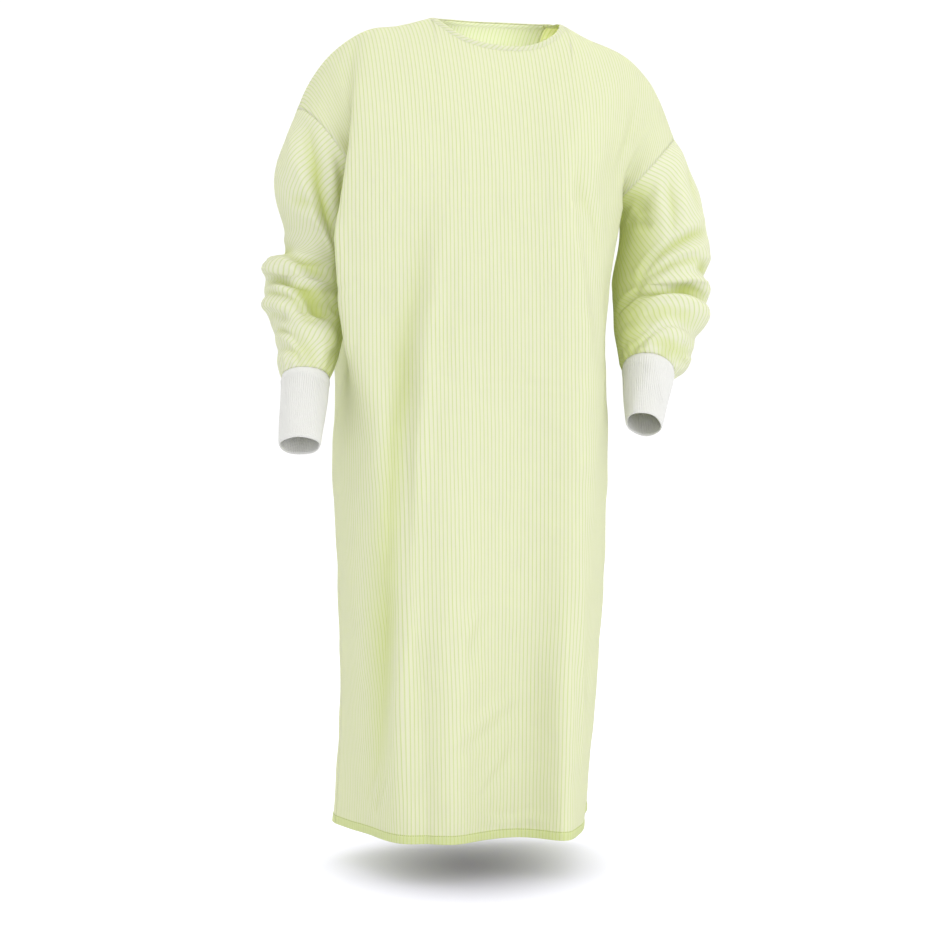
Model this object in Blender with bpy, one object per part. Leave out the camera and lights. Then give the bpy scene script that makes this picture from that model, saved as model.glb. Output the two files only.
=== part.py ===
# Isolation gown with long sleeves and knit cuffs, in the hollow form it keeps when worn.
# Metres, +Z up. The front faces -Y, the wearer's left is +X, and the origin is where the
# wearer's neck and shoulders carry the gown.

import math

import bmesh
import bpy
import numpy as np

# Cloth
WALL = 0.0015
HEM_WALL = 0.0024
HEM_DEPTH = 0.013
BINDING_WALL = 0.0021
BINDING_WIDTH = 0.009
CUFF_WALL = 0.0020
TIE_WALL = 0.0014
SEAM_GAP = 0.0003
LAP_STEP = 0.0027
SHARP_ANGLE = 50

# How much more a tube's direction counts than a panel's where they meet at a seam.
TUBE_WEIGHT = 2

# Shares of the body cloth. Across runs from 0 at the centre to 1 at a side seam, down runs
# from 0 at the top edge through ARM_SHARE at the underarm to 1 at the hem.
HEM_Z = -1.194
ARM_SHARE = 0.24
NECK_SHARE = 2 / 7
CORNER_SHARE = 0.68
TUCK_SHARE = 0.85

# Share across from which the cloth starts to follow the upper arm, how far the neck hole's
# curve reaches across, and the step down over which the wall thickens to the turned hem.
ON_ARM_SHARE = 0.55
NECK_REACH = 0.6
HEM_STEP_SHARE = 0.001

# Grids, in cells
UPPER_ROWS = 10
LOWER_ROWS = 16
NECK_COLUMNS = 6
SIDE_COLUMNS = 10
LAP_COLUMNS = 4
SLEEVE_ROWS = 22
CUFF_ROWS = 3
BINDING_ROWS = 2

# Neck hole: half width, height at its sides, rise of the shoulder line over it, and for the
# front and the back how far down towards the underarm it reaches, as a share of the way
# round, and the power of the curve the cloth follows there (2 is a quarter ellipse).
NECK_HALF = 0.103
NECK_SIDE_Z = -0.003
NECK_ARCH = 0.0145
NECK_FRONT = (0.41, 1.73)
NECK_BACK = (0.29, 3.0)

# Shoulder seams from the neck to the top of the armhole, for the right and the left side:
# share across, distance out and height.
SHOULDERS = {
    -1: [
        (NECK_SHARE, 0.103, -0.0030),
        (0.42, 0.148, -0.0160),
        (0.55, 0.193, -0.0245),
        (0.65, 0.226, -0.0435),
        (0.74, 0.252, -0.0665),
        (0.87, 0.281, -0.1080),
        (1.00, 0.297, -0.1450),
    ],
    1: [
        (NECK_SHARE, 0.103, -0.0030),
        (0.42, 0.138, -0.0200),
        (0.60, 0.196, -0.0430),
        (0.74, 0.235, -0.0740),
        (0.87, 0.261, -0.1140),
        (1.00, 0.281, -0.1660),
    ],
}

# Armholes on the upper arms: top and underarm as distance out and height, and the half
# axes to the front and to the back as distance out and depth.
ARMHOLES = {
    -1: {"top": (0.297, -0.145), "under": (0.207, -0.268), "front": (0.0, -0.076), "back": (0.0, 0.070)},
    1: {"top": (0.281, -0.166), "under": (0.186, -0.268), "front": (-0.012, -0.074), "back": (0.0, 0.070)},
}

# Body outline by height: depth of the centre front and centre back, then for each side the
# points named in OUTLINE, as distance out and depth.
OUTLINE = ("corner", "tuck", "seam", "back_tuck", "back_corner")
LEVELS = [
    {"z": -0.28, "front": -0.140, "back": 0.125},
    {"z": -0.31, "front": -0.143, "back": 0.125},
    {"z": -0.37, "front": -0.148, "back": 0.127},
    {"z": -0.46, "front": -0.151, "back": 0.129},
    {"z": -0.60, "front": -0.152, "back": 0.135},
    {"z": -0.85, "front": -0.150, "back": 0.155},
    {"z": -1.02, "front": -0.146, "back": 0.165},
    {"z": HEM_Z, "front": -0.138, "back": 0.175},
]
SIDES = {
    -1: [
        ((0.2530, -0.099), (0.212, -0.062), (0.186, 0.000), (0.200, 0.060), (0.228, 0.088)),
        ((0.2545, -0.097), (0.208, -0.063), (0.190, 0.000), (0.201, 0.060), (0.230, 0.088)),
        ((0.2560, -0.094), (0.206, -0.062), (0.193, 0.000), (0.204, 0.060), (0.230, 0.090)),
        ((0.2530, -0.095), (0.224, -0.060), (0.212, 0.000), (0.218, 0.060), (0.227, 0.094)),
        ((0.2220, -0.112), (0.238, -0.056), (0.238, 0.005), (0.231, 0.063), (0.210, 0.112)),
        ((0.2040, -0.118), (0.228, -0.050), (0.231, 0.018), (0.219, 0.080), (0.190, 0.135)),
        ((0.1920, -0.121), (0.215, -0.040), (0.225, 0.036), (0.210, 0.095), (0.183, 0.145)),
        ((0.1860, -0.120), (0.208, -0.030), (0.229, 0.055), (0.221, 0.110), (0.185, 0.152)),
    ],
    1: [
        ((0.1320, -0.113), (0.182, -0.056), (0.168, 0.000), (0.180, 0.062), (0.196, 0.092)),
        ((0.1320, -0.114), (0.177, -0.054), (0.170, 0.004), (0.181, 0.064), (0.192, 0.095)),
        ((0.1320, -0.115), (0.166, -0.053), (0.173, 0.010), (0.182, 0.068), (0.180, 0.102)),
        ((0.1300, -0.116), (0.157, -0.052), (0.175, 0.016), (0.182, 0.072), (0.168, 0.110)),
        ((0.1280, -0.120), (0.160, -0.052), (0.176, 0.020), (0.180, 0.080), (0.158, 0.124)),
        ((0.1120, -0.130), (0.149, -0.060), (0.170, 0.020), (0.176, 0.090), (0.152, 0.138)),
        ((0.0970, -0.138), (0.133, -0.069), (0.160, 0.023), (0.175, 0.090), (0.162, 0.138)),
        ((0.0820, -0.146), (0.113, -0.079), (0.147, 0.026), (0.174, 0.090), (0.172, 0.138)),
    ],
}

# Drape folds: where each starts and ends as across and down, its half width across and its
# height off the cloth, negative in a valley. A fold fades in and out past its ends over
# FOLD_FADE of its length, starting FOLD_LEAD before them, and over SEAM_FADE at a side seam.
FOLD_LEAD = 0.25
FOLD_FADE = 0.6
SEAM_FADE = 0.08
FRONT_FOLDS = [
    {"start": (-0.28, 0.20), "end": (-0.50, 0.62), "half": 0.075, "height": -0.010},
    {"start": (-0.50, 0.50), "end": (-0.50, 1.00), "half": 0.075, "height": -0.012},
    {"start": (-0.30, 0.60), "end": (-0.36, 1.00), "half": 0.080, "height": 0.006},
    {"start": (0.44, 0.20), "end": (0.60, 0.42), "half": 0.090, "height": -0.008},
    {"start": (0.05, 0.75), "end": (-0.12, 1.00), "half": 0.110, "height": -0.016},
    {"start": (0.30, 0.78), "end": (0.42, 1.00), "half": 0.090, "height": 0.008},
]
BACK_FOLDS = [
    {"start": (0.55, 0.24), "end": (0.62, 1.00), "half": 0.080, "height": -0.009},
    {"start": (0.34, 0.40), "end": (0.38, 1.00), "half": 0.080, "height": 0.007},
    {"start": (-0.58, 0.24), "end": (-0.66, 1.00), "half": 0.080, "height": -0.010},
    {"start": (-0.38, 0.45), "end": (-0.36, 1.00), "half": 0.080, "height": 0.007},
]

# Sleeve rings below the armhole: share along, centre as distance out, depth and height,
# half width across and front to back, tilt outwards and lean forwards in degrees.
SLEEVES = {
    -1: [
        (0.06, 0.260, 0.000, -0.2185, 0.0693, 0.071, 50, 0),
        (0.14, 0.2685, 0.001, -0.2415, 0.0646, 0.068, 40, 0),
        (0.25, 0.275, 0.003, -0.272, 0.0617, 0.066, 27, 0),
        (0.38, 0.2675, 0.010, -0.324, 0.0515, 0.064, 12, 2),
        (0.46, 0.2670, 0.012, -0.354, 0.0490, 0.064, 8, 5),
        (0.53, 0.2800, 0.011, -0.380, 0.0590, 0.065, 6, 8),
        (0.66, 0.2850, 0.000, -0.424, 0.0560, 0.062, 4, 14),
        (0.80, 0.287, -0.024, -0.470, 0.049, 0.052, 2, 20),
        (0.91, 0.291, -0.047, -0.510, 0.043, 0.045, 4, 24),
        (1.00, 0.297, -0.064, -0.538, 0.034, 0.034, 6, 25),
    ],
    1: [
        (0.06, 0.2425, 0.000, -0.228, 0.0654, 0.071, 45, 0),
        (0.14, 0.2515, 0.001, -0.250, 0.0628, 0.069, 35, 0),
        (0.24, 0.261, 0.002, -0.2785, 0.0647, 0.068, 24, 0),
        (0.37, 0.267, 0.008, -0.3315, 0.0703, 0.067, 11, 2),
        (0.50, 0.265, 0.010, -0.376, 0.072, 0.068, 4, 8),
        (0.64, 0.262, -0.002, -0.420, 0.073, 0.066, -2, 16),
        (0.78, 0.248, -0.024, -0.462, 0.065, 0.060, -8, 26),
        (0.90, 0.234, -0.044, -0.498, 0.054, 0.052, -12, 32),
        (1.00, 0.222, -0.058, -0.520, 0.040, 0.040, -14, 34),
    ],
}

# Free end of each cuff: centre as distance out, depth and height, and half width.
CUFF_ENDS = {-1: (0.314, -0.110, -0.635, 0.028), 1: (0.195, -0.114, -0.602, 0.0265)}

# Crumples of each sleeve: share along, turn from the outside through the front in degrees,
# half width along, reach round in degrees, slope along for a quarter turn, and height. They
# fade out over these shares of its length at the armhole and at the cuff.
ARMHOLE_FADE = 0.08
CUFF_FADE = 0.05
CRUMPLES = {
    -1: [
        (0.40, 20, 0.050, 75, 0.02, -0.006),
        (0.52, 10, 0.045, 70, 0.04, 0.006),
        (0.60, 60, 0.030, 80, 0.05, -0.007),
        (0.67, 0, 0.035, 80, -0.03, 0.005),
        (0.75, 80, 0.030, 90, -0.04, -0.006),
        (0.88, 30, 0.030, 110, 0.02, -0.004),
    ],
    1: [
        (0.52, 10, 0.030, 45, 0.10, -0.007),
        (0.62, 60, 0.030, 90, -0.05, -0.008),
        (0.45, 50, 0.050, 60, 0.12, 0.005),
        (0.72, 40, 0.045, 80, 0.05, 0.005),
        (0.83, 60, 0.030, 90, 0.08, -0.006),
        (0.91, 10, 0.035, 70, 0.04, 0.005),
    ],
}

# Ties at the back: sizes of the strips and knots, how far off the cloth they lie, the cloth
# one share across and one share down, how far past the outer panel's edge a strip starts
# and ends its step down, and where each strip runs as across and down.
TIE_WIDTH = 0.014
TIE_CELLS = 24
TIE_LIFT = 0.0007
KNOT_LIFT = 0.0003
KNOT_SIZE = (0.017, 0.015, 0.0055)
SHARE_WIDTH = 0.28
SHARE_DROP = 1.2
LAP_CLEAR = (0.045, 0.040)
TIES = {
    "waist_tie_left": [(-0.110, 0.3850), (-0.250, 0.3860), (-0.356, 0.3850)],
    "waist_tie_right": [(-0.424, 0.3850), (-0.520, 0.3860), (-0.640, 0.3840)],
    "waist_tail_left": [(-0.420, 0.4000), (-0.435, 0.4600), (-0.425, 0.5300), (-0.440, 0.5900)],
    "waist_tail_right": [(-0.352, 0.4000), (-0.335, 0.4600), (-0.350, 0.5200), (-0.335, 0.5650)],
    "neck_tail_left": [(-0.155, 0.0250), (-0.150, 0.1000), (-0.158, 0.1700), (-0.150, 0.2200)],
    "neck_tail_right": [(-0.090, 0.0250), (-0.078, 0.0900), (-0.088, 0.1500), (-0.070, 0.1900)],
}
KNOTS = {"waist_knot": (-0.390, 0.3850), "neck_knot": (-0.122, 0.0110)}

CLOTH_YELLOW = (0.82, 0.83, 0.58, 1.0)
KNIT_WHITE = (0.86, 0.86, 0.83, 1.0)


def smooth(stops, values, places):
    """Cubic curve through the values at the stops, read at each place."""
    stops = np.asarray(stops, float)
    values = np.asarray(values, float)
    places = np.atleast_1d(np.asarray(places, float))
    slopes = np.gradient(values, stops, axis=0)
    cell = np.clip(np.searchsorted(stops, places, side="right") - 1, 0, len(stops) - 2)
    shape = (-1,) + (1,) * (values.ndim - 1)
    span = (stops[cell + 1] - stops[cell]).reshape(shape)
    t = (places - stops[cell]).reshape(shape) / span
    start = (2 * t**3 - 3 * t**2 + 1) * values[cell] + (t**3 - 2 * t**2 + t) * span * slopes[cell]
    end = (3 * t**2 - 2 * t**3) * values[cell + 1] + (t**3 - t**2) * span * slopes[cell + 1]
    return start + end


def ease(value):
    """Soft step from 0 to 1."""
    value = np.clip(value, 0.0, 1.0)
    return value * value * (3 - 2 * value)


def unit(vectors):
    """Vectors brought to length 1."""
    length = np.linalg.norm(vectors, axis=-1, keepdims=True)
    return vectors / np.maximum(length, 1e-12)


def armhole_axes(side):
    """Centre of an armhole and its half axes to the top, the front and the back."""
    hole = ARMHOLES[side]
    top = np.array([side * hole["top"][0], 0.0, hole["top"][1]])
    under = np.array([side * hole["under"][0], 0.0, hole["under"][1]])
    front = np.array([side * hole["front"][0], hole["front"][1], 0.0])
    back = np.array([side * hole["back"][0], hole["back"][1], 0.0])
    return (top + under) / 2, (top - under) / 2, front, back


def armhole(side, angle):
    """Points of an armhole seam; the angle runs from the top through the front to the underarm."""
    centre, upward, front, back = armhole_axes(side)
    angle = angle[..., None]
    swing = np.where(np.sin(angle) >= 0, front, -back)
    return centre + np.cos(angle) * upward + np.sin(angle) * swing


def shoulder_line(across):
    """Line over both shoulders: the seams, and between them an arch above the neck hole."""
    points = np.zeros((len(across), 3))
    points[:, 0] = NECK_HALF * across / NECK_SHARE
    points[:, 2] = NECK_SIDE_Z + NECK_ARCH * (1 - (across / NECK_SHARE) ** 2)
    for side, rows in SHOULDERS.items():
        here = side * across > NECK_SHARE
        if here.any():
            seam = smooth([row[0] for row in rows], [row[1:] for row in rows], side * across[here])
            points[here] = np.stack([side * seam[:, 0], np.zeros(len(seam)), seam[:, 1]], axis=1)
    return points


def outline(level, turn):
    """Body outline at a level; the turn is 0 at centre front, 1 at the left seam, 2 at centre back."""
    shares = (CORNER_SHARE, TUCK_SHARE, 1.0, 2 - TUCK_SHARE, 2 - CORNER_SHARE)
    left = [(share, point[0], point[1]) for share, point in zip(shares, SIDES[1][level])]
    right = [(4 - share, -point[0], point[1]) for share, point in zip(shares, SIDES[-1][level])]
    middle = [(0.0, 0.0, LEVELS[level]["front"]), (2.0, 0.0, LEVELS[level]["back"])]
    lap = sorted(left + right + middle)
    rows = [(row[0] + shift, row[1], row[2]) for shift in (-4, 0, 4) for row in lap]
    return smooth([row[0] for row in rows], [row[1:] for row in rows], turn)


def body_levels(across, back):
    """Points of each column of the body at every level, drawn in to the underarm at its seam."""
    turn = (2 - across) if back else across
    rows = []
    for index, level in enumerate(LEVELS):
        points = outline(index, turn % 4)
        rows.append(np.column_stack([points, np.full(len(across), level["z"])]))
    side = np.where(across >= 0, 1, -1)
    pull = ease((np.abs(across) - TUCK_SHARE) / (1 - TUCK_SHARE))[:, None]
    under = np.array([[s * ARMHOLES[s]["under"][0], 0.0, ARMHOLES[s]["under"][1]] for s in side])
    rows[0] = rows[0] + (under - rows[0]) * pull
    return np.array(rows)


def body_cloth(across, down, back):
    """Body cloth before its folds, as points in rows down and columns across."""
    levels = body_levels(across, back)
    stops = [(level["z"] - LEVELS[0]["z"]) / (HEM_Z - LEVELS[0]["z"]) for level in LEVELS]
    lower = smooth(stops, levels, np.maximum(down - ARM_SHARE, 0) / (1 - ARM_SHARE))
    hole, power = NECK_BACK if back else NECK_FRONT
    hole = hole * np.sqrt(np.clip(1 - (across / NECK_SHARE) ** 2, 0, 1))
    power = 2 + (power - 2) * (1 - ease(np.abs(across) / NECK_REACH))
    run = hole + (1 - hole) * np.clip(down / ARM_SHARE, 0, 1)[:, None]
    out = np.sin(run * math.pi / 2)
    fall = 1 - np.maximum(1 - out**power, 0) ** (1 / power)
    share = np.stack([out * run, out, fall], axis=-1)
    late = run[..., None] ** 3
    top = shoulder_line(across)
    upper = top + (levels[0] - top) * share
    on_arm = ease((np.abs(across) - ON_ARM_SHARE) / (1 - ON_ARM_SHARE))[:, None]
    for side in (-1, 1):
        here = side * across > NECK_SHARE
        centre, upward, _, _ = armhole_axes(side)
        angle = math.pi * run[:, here] * (-1 if back else 1)
        bulge = armhole(side, angle) - (centre + upward) + 2 * upward * late[:, here]
        shift = (levels[0] - top)[here] * (late[:, here] - share[:, here])
        upper[:, here] += (bulge + shift) * on_arm[here]
    return np.where((down < ARM_SHARE)[:, None, None], upper, lower)


def fold_height(across, down, back):
    """Height of the folds on the body cloth, with none at the side seams."""
    across = across[None, :]
    down = down[:, None]
    height = np.zeros((down.shape[0], across.shape[1]))
    for fold in BACK_FOLDS if back else FRONT_FOLDS:
        start, end = fold["start"], fold["end"]
        run = (down - start[1]) / (end[1] - start[1])
        line = start[0] + (end[0] - start[0]) * np.clip(run, 0, 1)
        window = ease((run + FOLD_LEAD) / FOLD_FADE)
        if end[1] < 1.0:
            window = window * ease((1 + FOLD_LEAD - run) / FOLD_FADE)
        height += fold["height"] * window * np.exp(-(((across - line) / fold["half"]) ** 2))
    return height * ease((1 - np.abs(across)) / SEAM_FADE)


def grid_facing(points, tube=False):
    """Outward directions of a grid whose rows run down and whose columns run to the wearer's left."""
    if tube:
        round_trip = np.concatenate([points[:, -2:-1], points, points[:, 1:2]], axis=1)
        aside = (round_trip[:, 2:] - round_trip[:, :-2]) / 2
    else:
        aside = np.gradient(points, axis=1)
    return unit(np.cross(aside, -np.gradient(points, axis=0)))


def body_surface(across, down, back):
    """Folded body cloth and its outward directions."""
    points = body_cloth(across, down, back)
    facing = grid_facing(points) * (-1 if back else 1)
    points = points + facing * fold_height(across, down, back)[..., None]
    return points, grid_facing(points) * (-1 if back else 1)


def sleeve_rings(side):
    """Rings of a sleeve: shares along, then centre and half axes outwards, forwards and back."""
    centre, upward, front, back = armhole_axes(side)
    stops = [0.0]
    rings = [np.concatenate([centre, upward, front, -back])]
    for at, out, y, z, across, deep, tilt, lean in SLEEVES[side]:
        tilt, lean = math.radians(tilt), math.radians(lean)
        outward = np.array([side * math.cos(tilt), 0.0, math.sin(tilt)]) * across
        forward = np.array([0.0, -math.cos(lean), math.sin(lean)]) * deep
        stops.append(at)
        rings.append(np.concatenate([[side * out, y, z], outward, forward, forward]))
    return stops, rings


def sleeve_tube(side, along, angle):
    """Smooth sleeve before its crumples."""
    stops, rings = sleeve_rings(side)
    row = smooth(stops, rings, along)[:, None]
    angle = angle[None, :, None]
    swing = np.where(np.sin(angle) >= 0, row[..., 6:9], row[..., 9:12])
    return row[..., 0:3] + np.cos(angle) * row[..., 3:6] + np.sin(angle) * swing


def crumple_height(side, along, angle):
    """Height of the crumples on a sleeve, with none at its seams."""
    along = along[:, None]
    height = np.zeros((len(along), len(angle)))
    for at, turn, half, reach, slope, rise in CRUMPLES[side]:
        away = (np.degrees(angle)[None, :] - turn + 180) % 360 - 180
        line = at + slope * away / 90
        height += rise * np.exp(-((away / reach) ** 2)) * np.exp(-(((along - line) / half) ** 2))
    return height * ease(along / ARMHOLE_FADE) * ease((1 - along) / CUFF_FADE)


def sleeve_surface(side, along, angle):
    """Crumpled sleeve and its outward directions."""
    points = sleeve_tube(side, along, angle)
    facing = grid_facing(points, tube=True) * -side
    points = points + facing * crumple_height(side, along, angle)[..., None]
    return points, grid_facing(points, tube=True) * -side


def edge_places(points, tube):
    """Rows and columns of a grid's edge points."""
    rows, columns = points.shape[:2]
    places = [(i, j) for i in (0, rows - 1) for j in range(columns)]
    if not tube:
        places += [(i, j) for j in (0, columns - 1) for i in range(1, rows - 1)]
    return places


def share_facing(sheets):
    """Give pieces that meet at a seam one outward direction there, so that their walls meet square."""
    meetings = {}
    for sheet in sheets.values():
        for i, j in edge_places(sheet["points"], sheet["tube"]):
            key = tuple(np.round(sheet["points"][i, j], 5))
            weight = TUBE_WEIGHT if sheet["tube"] else 1
            meetings.setdefault(key, []).append((sheet["facing"], i, j, weight))
    for meeting in meetings.values():
        total = unit(sum(facing[i, j] * weight for facing, i, j, weight in meeting))
        for facing, i, j, _ in meeting:
            facing[i, j] = total


def inward(edge, beside):
    """Directions from an edge into its own cloth, square to the edge."""
    run = unit(np.gradient(edge, axis=0))
    step = beside - edge
    return unit(step - run * np.sum(step * run, axis=-1, keepdims=True))


def draw_in(points, tube):
    """Move the edges of a grid in by half the seam gap, so that neighbours stay apart."""
    half = SEAM_GAP / 2
    moved = points.copy()
    moved[0] += inward(points[0], points[1]) * half
    moved[-1] += inward(points[-1], points[-2]) * half
    if not tube:
        moved[:, 0] += inward(points[:, 0], points[:, 1]) * half
        moved[:, -1] += inward(points[:, -1], points[:, -2]) * half
    return moved


def close_edge(shape, outer_a, outer_b, inner_b, inner_a):
    """Close a wall's edge between two points, split the same way on both sides of a seam."""
    if outer_a.co.z + inner_a.co.z < outer_b.co.z + inner_b.co.z:
        shape.faces.new((outer_a, outer_b, inner_b))
        shape.faces.new((outer_a, inner_b, inner_a))
    else:
        shape.faces.new((outer_b, inner_b, inner_a))
        shape.faces.new((outer_b, inner_a, outer_a))


def make_wall(name, points, facing, thickness, material, tube=False):
    """Wall of cloth on a grid of points; a tube closes round its columns."""
    reach = facing * np.broadcast_to(np.asarray(thickness) / 2, points.shape[:2])[..., None]
    if tube:
        points, reach = points[:, :-1], reach[:, :-1]
    rows, columns = points.shape[:2]
    shape = bmesh.new()
    outer = [[shape.verts.new(p) for p in row] for row in points + reach]
    inner = [[shape.verts.new(p) for p in row] for row in points - reach]
    for j in range(columns if tube else columns - 1):
        k = (j + 1) % columns
        for i in range(rows - 1):
            shape.faces.new((outer[i][j], outer[i + 1][j], outer[i + 1][k], outer[i][k]))
            shape.faces.new((inner[i][j], inner[i][k], inner[i + 1][k], inner[i + 1][j]))
        close_edge(shape, outer[0][j], outer[0][k], inner[0][k], inner[0][j])
        close_edge(shape, outer[-1][k], outer[-1][j], inner[-1][j], inner[-1][k])
    if not tube:
        for i in range(rows - 1):
            close_edge(shape, outer[i + 1][0], outer[i][0], inner[i][0], inner[i + 1][0])
            close_edge(shape, outer[i][-1], outer[i + 1][-1], inner[i + 1][-1], inner[i][-1])
    bmesh.ops.recalc_face_normals(shape, faces=shape.faces)
    return make_object(name, shape, material)


def make_object(name, shape, material):
    """Object made from a finished mesh, in the gown's collection."""
    mesh = bpy.data.meshes.new(name)
    shape.to_mesh(mesh)
    shape.free()
    mesh.shade_smooth()
    mesh.set_sharp_from_angle(angle=math.radians(SHARP_ANGLE))
    mesh.materials.append(material)
    piece = bpy.data.objects.new(name, mesh)
    bpy.data.collections["isolation_gown"].objects.link(piece)
    return piece


def make_material(name, colour, roughness):
    """Plain matt finish of one cloth."""
    material = bpy.data.materials.new(name)
    material.use_nodes = True
    shader = material.node_tree.nodes["Principled BSDF"]
    shader.inputs["Base Color"].default_value = colour
    shader.inputs["Roughness"].default_value = roughness
    shader.inputs["Metallic"].default_value = 0.0
    return material


def half_columns():
    """Columns of half a body panel from the centre to a side seam, closer at the neck."""
    neck = NECK_SHARE * np.sin(np.linspace(0, math.pi / 2, NECK_COLUMNS + 1))
    return np.concatenate([neck, np.linspace(NECK_SHARE, 1, SIDE_COLUMNS + 1)[1:]])


def lap_columns():
    """Columns of a back panel, from its free edge past the centre to its side seam."""
    half = half_columns()
    return np.concatenate([-half[LAP_COLUMNS:0:-1], half])


def panel_rows():
    """Rows of a body panel, with two close rows where the turned hem begins."""
    hem = 1 - HEM_DEPTH / (LEVELS[0]["z"] - HEM_Z) * (1 - ARM_SHARE)
    upper = np.linspace(0, ARM_SHARE, UPPER_ROWS + 1)
    lower = np.linspace(ARM_SHARE, hem, LOWER_ROWS + 1)
    return np.concatenate([upper, lower[1:], [hem + HEM_STEP_SHARE, 1.0]])


def lap_rise(across):
    """How far the outer back panel stands off so that it lies on the other."""
    edge = half_columns()[LAP_COLUMNS]
    return LAP_STEP * (1 - ease((across - edge) / (NECK_SHARE - edge)))


def body_panel(across, back, rise):
    """Sheet of the front panel, or of one of the two that overlap at the centre back."""
    rows = panel_rows()
    points, facing = body_surface(across, rows, back)
    points = points + facing * rise[None, :, None]
    thickness = np.where(rows > rows[-3], HEM_WALL, WALL)[:, None]
    return {"points": points, "facing": facing, "thickness": thickness, "tube": False}


def neck_edge(sheet, start, stop):
    """Stretch of a panel's neck edge and the directions it faces there."""
    step = 1 if stop > start else -1
    picked = range(start, stop + step, step)
    return [(sheet["points"][0, j], sheet["facing"][0, j]) for j in picked]


def binding_strip(sheets):
    """Sheet of the bias strip round the neck; it opens at the back, where its ends overlap."""
    last = NECK_COLUMNS + SIDE_COLUMNS
    edge = neck_edge(sheets["back_left"], 0, LAP_COLUMNS + NECK_COLUMNS)
    edge += neck_edge(sheets["front_panel"], last + NECK_COLUMNS, last - NECK_COLUMNS)[1:]
    edge += neck_edge(sheets["back_right"], SIDE_COLUMNS, last + LAP_COLUMNS)[1:]
    low = np.array([point for point, _ in edge])
    out = np.array([facing for _, facing in edge])
    climb = unit(np.cross(np.gradient(low, axis=0), out))
    points = np.linspace(low, low + climb * BINDING_WIDTH, BINDING_ROWS + 1)
    facing = np.zeros_like(points) + out
    return {"points": points, "facing": facing, "thickness": BINDING_WALL, "tube": False}


def sleeve_sheet(side):
    """Sheet of a sleeve, from the armhole seam to the cuff seam."""
    along = np.linspace(0, 1, SLEEVE_ROWS + 1)
    angle = np.linspace(0, 2 * math.pi, 2 * UPPER_ROWS + 1)
    points, facing = sleeve_surface(side, along, angle)
    return {"points": points, "facing": facing, "thickness": WALL, "tube": True}


def cuff_sheet(side):
    """Sheet of an open knit cuff, from the sleeve's end to the wrist."""
    _, out, y, z, across, _, tilt, lean = SLEEVES[side][-1]
    end_out, end_y, end_z, end_half = CUFF_ENDS[side]
    start = np.array([side * out, y, z])
    finish = np.array([side * end_out, end_y, end_z])
    tilt, lean = math.radians(tilt), math.radians(lean)
    outward = np.array([side * math.cos(tilt), 0.0, math.sin(tilt)])
    forward = np.array([0.0, -math.cos(lean), math.sin(lean)])
    angle = np.linspace(0, 2 * math.pi, 2 * UPPER_ROWS + 1)[:, None]
    ring = np.cos(angle) * outward + np.sin(angle) * forward
    along = np.linspace(0, 1, CUFF_ROWS + 1)[:, None, None]
    points = start + (finish - start) * along + ring * (across + (end_half - across) * along)
    return {"points": points, "facing": np.zeros_like(points) + ring, "thickness": CUFF_WALL, "tube": True}


def on_sheet(sheet, columns, across, down):
    """Point of a panel and its outward direction at a place between its own points."""
    rows = panel_rows()
    j = int(np.clip(np.searchsorted(columns, across) - 1, 0, len(columns) - 2))
    i = int(np.clip(np.searchsorted(rows, down) - 1, 0, len(rows) - 2))
    u = (across - columns[j]) / (columns[j + 1] - columns[j])
    v = (down - rows[i]) / (rows[i + 1] - rows[i])
    found = []
    for grid in (sheet["points"], sheet["facing"]):
        upper = grid[i, j] * (1 - u) + grid[i, j + 1] * u
        lower = grid[i + 1, j] * (1 - u) + grid[i + 1, j + 1] * u
        found.append(upper * (1 - v) + lower * v)
    return found[0], unit(found[1])


def on_back(sheets, across, down, extra):
    """Point off the outside of the back, on whichever of its two panels shows there."""
    columns = lap_columns()
    if across >= columns[0]:
        point, out = on_sheet(sheets["back_left"], columns, across, down)
        return point + out * extra, out
    point, out = on_sheet(sheets["back_right"], -columns[::-1], across, down)
    rise = LAP_STEP * ease((across - columns[0] + LAP_CLEAR[0]) / LAP_CLEAR[1])
    return point + out * (rise + extra), out


def make_tie(name, route, sheets, material):
    """Flat strip laid on the back along its route."""
    places = smooth(np.linspace(0, 1, len(route)), route, np.linspace(0, 1, TIE_CELLS + 1))
    cloth_size = np.array([SHARE_WIDTH, SHARE_DROP])
    along = unit(np.gradient(places * cloth_size, axis=0))
    aside = np.column_stack([-along[:, 1], along[:, 0]]) * TIE_WIDTH / 2 / cloth_size
    extra = WALL / 2 + TIE_LIFT + TIE_WALL / 2
    grid = []
    for place, edge in zip(places, aside):
        grid.append([on_back(sheets, *(place + edge * lane), extra) for lane in (-1, 0, 1)])
    points = np.array([[point for point, _ in row] for row in grid])
    facing = np.array([[out for _, out in row] for row in grid])
    return make_wall(name, points, facing, TIE_WALL, material)


def make_knot(name, place, sheets, material):
    """Flat pulled knot where two ties meet."""
    centre, out = on_back(sheets, *place, WALL / 2 + KNOT_LIFT + KNOT_SIZE[2] / 2)
    aside = unit(np.cross(np.array([0.0, 0.0, 1.0]), out))
    upright = unit(np.cross(out, aside))
    shape = bmesh.new()
    bmesh.ops.create_uvsphere(shape, u_segments=12, v_segments=8, radius=0.5)
    for vertex in shape.verts:
        reach = np.array(vertex.co) * np.array(KNOT_SIZE)
        vertex.co = centre + aside * reach[0] + upright * reach[1] + out * reach[2]
    return make_object(name, shape, material)


for leftover in list(bpy.data.objects):
    bpy.data.objects.remove(leftover, do_unlink=True)
gown = bpy.data.collections.new("isolation_gown")
bpy.context.scene.collection.children.link(gown)
cloth = make_material("striped_cloth", CLOTH_YELLOW, 0.85)
knit = make_material("cuff_knit", KNIT_WHITE, 0.9)

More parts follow.
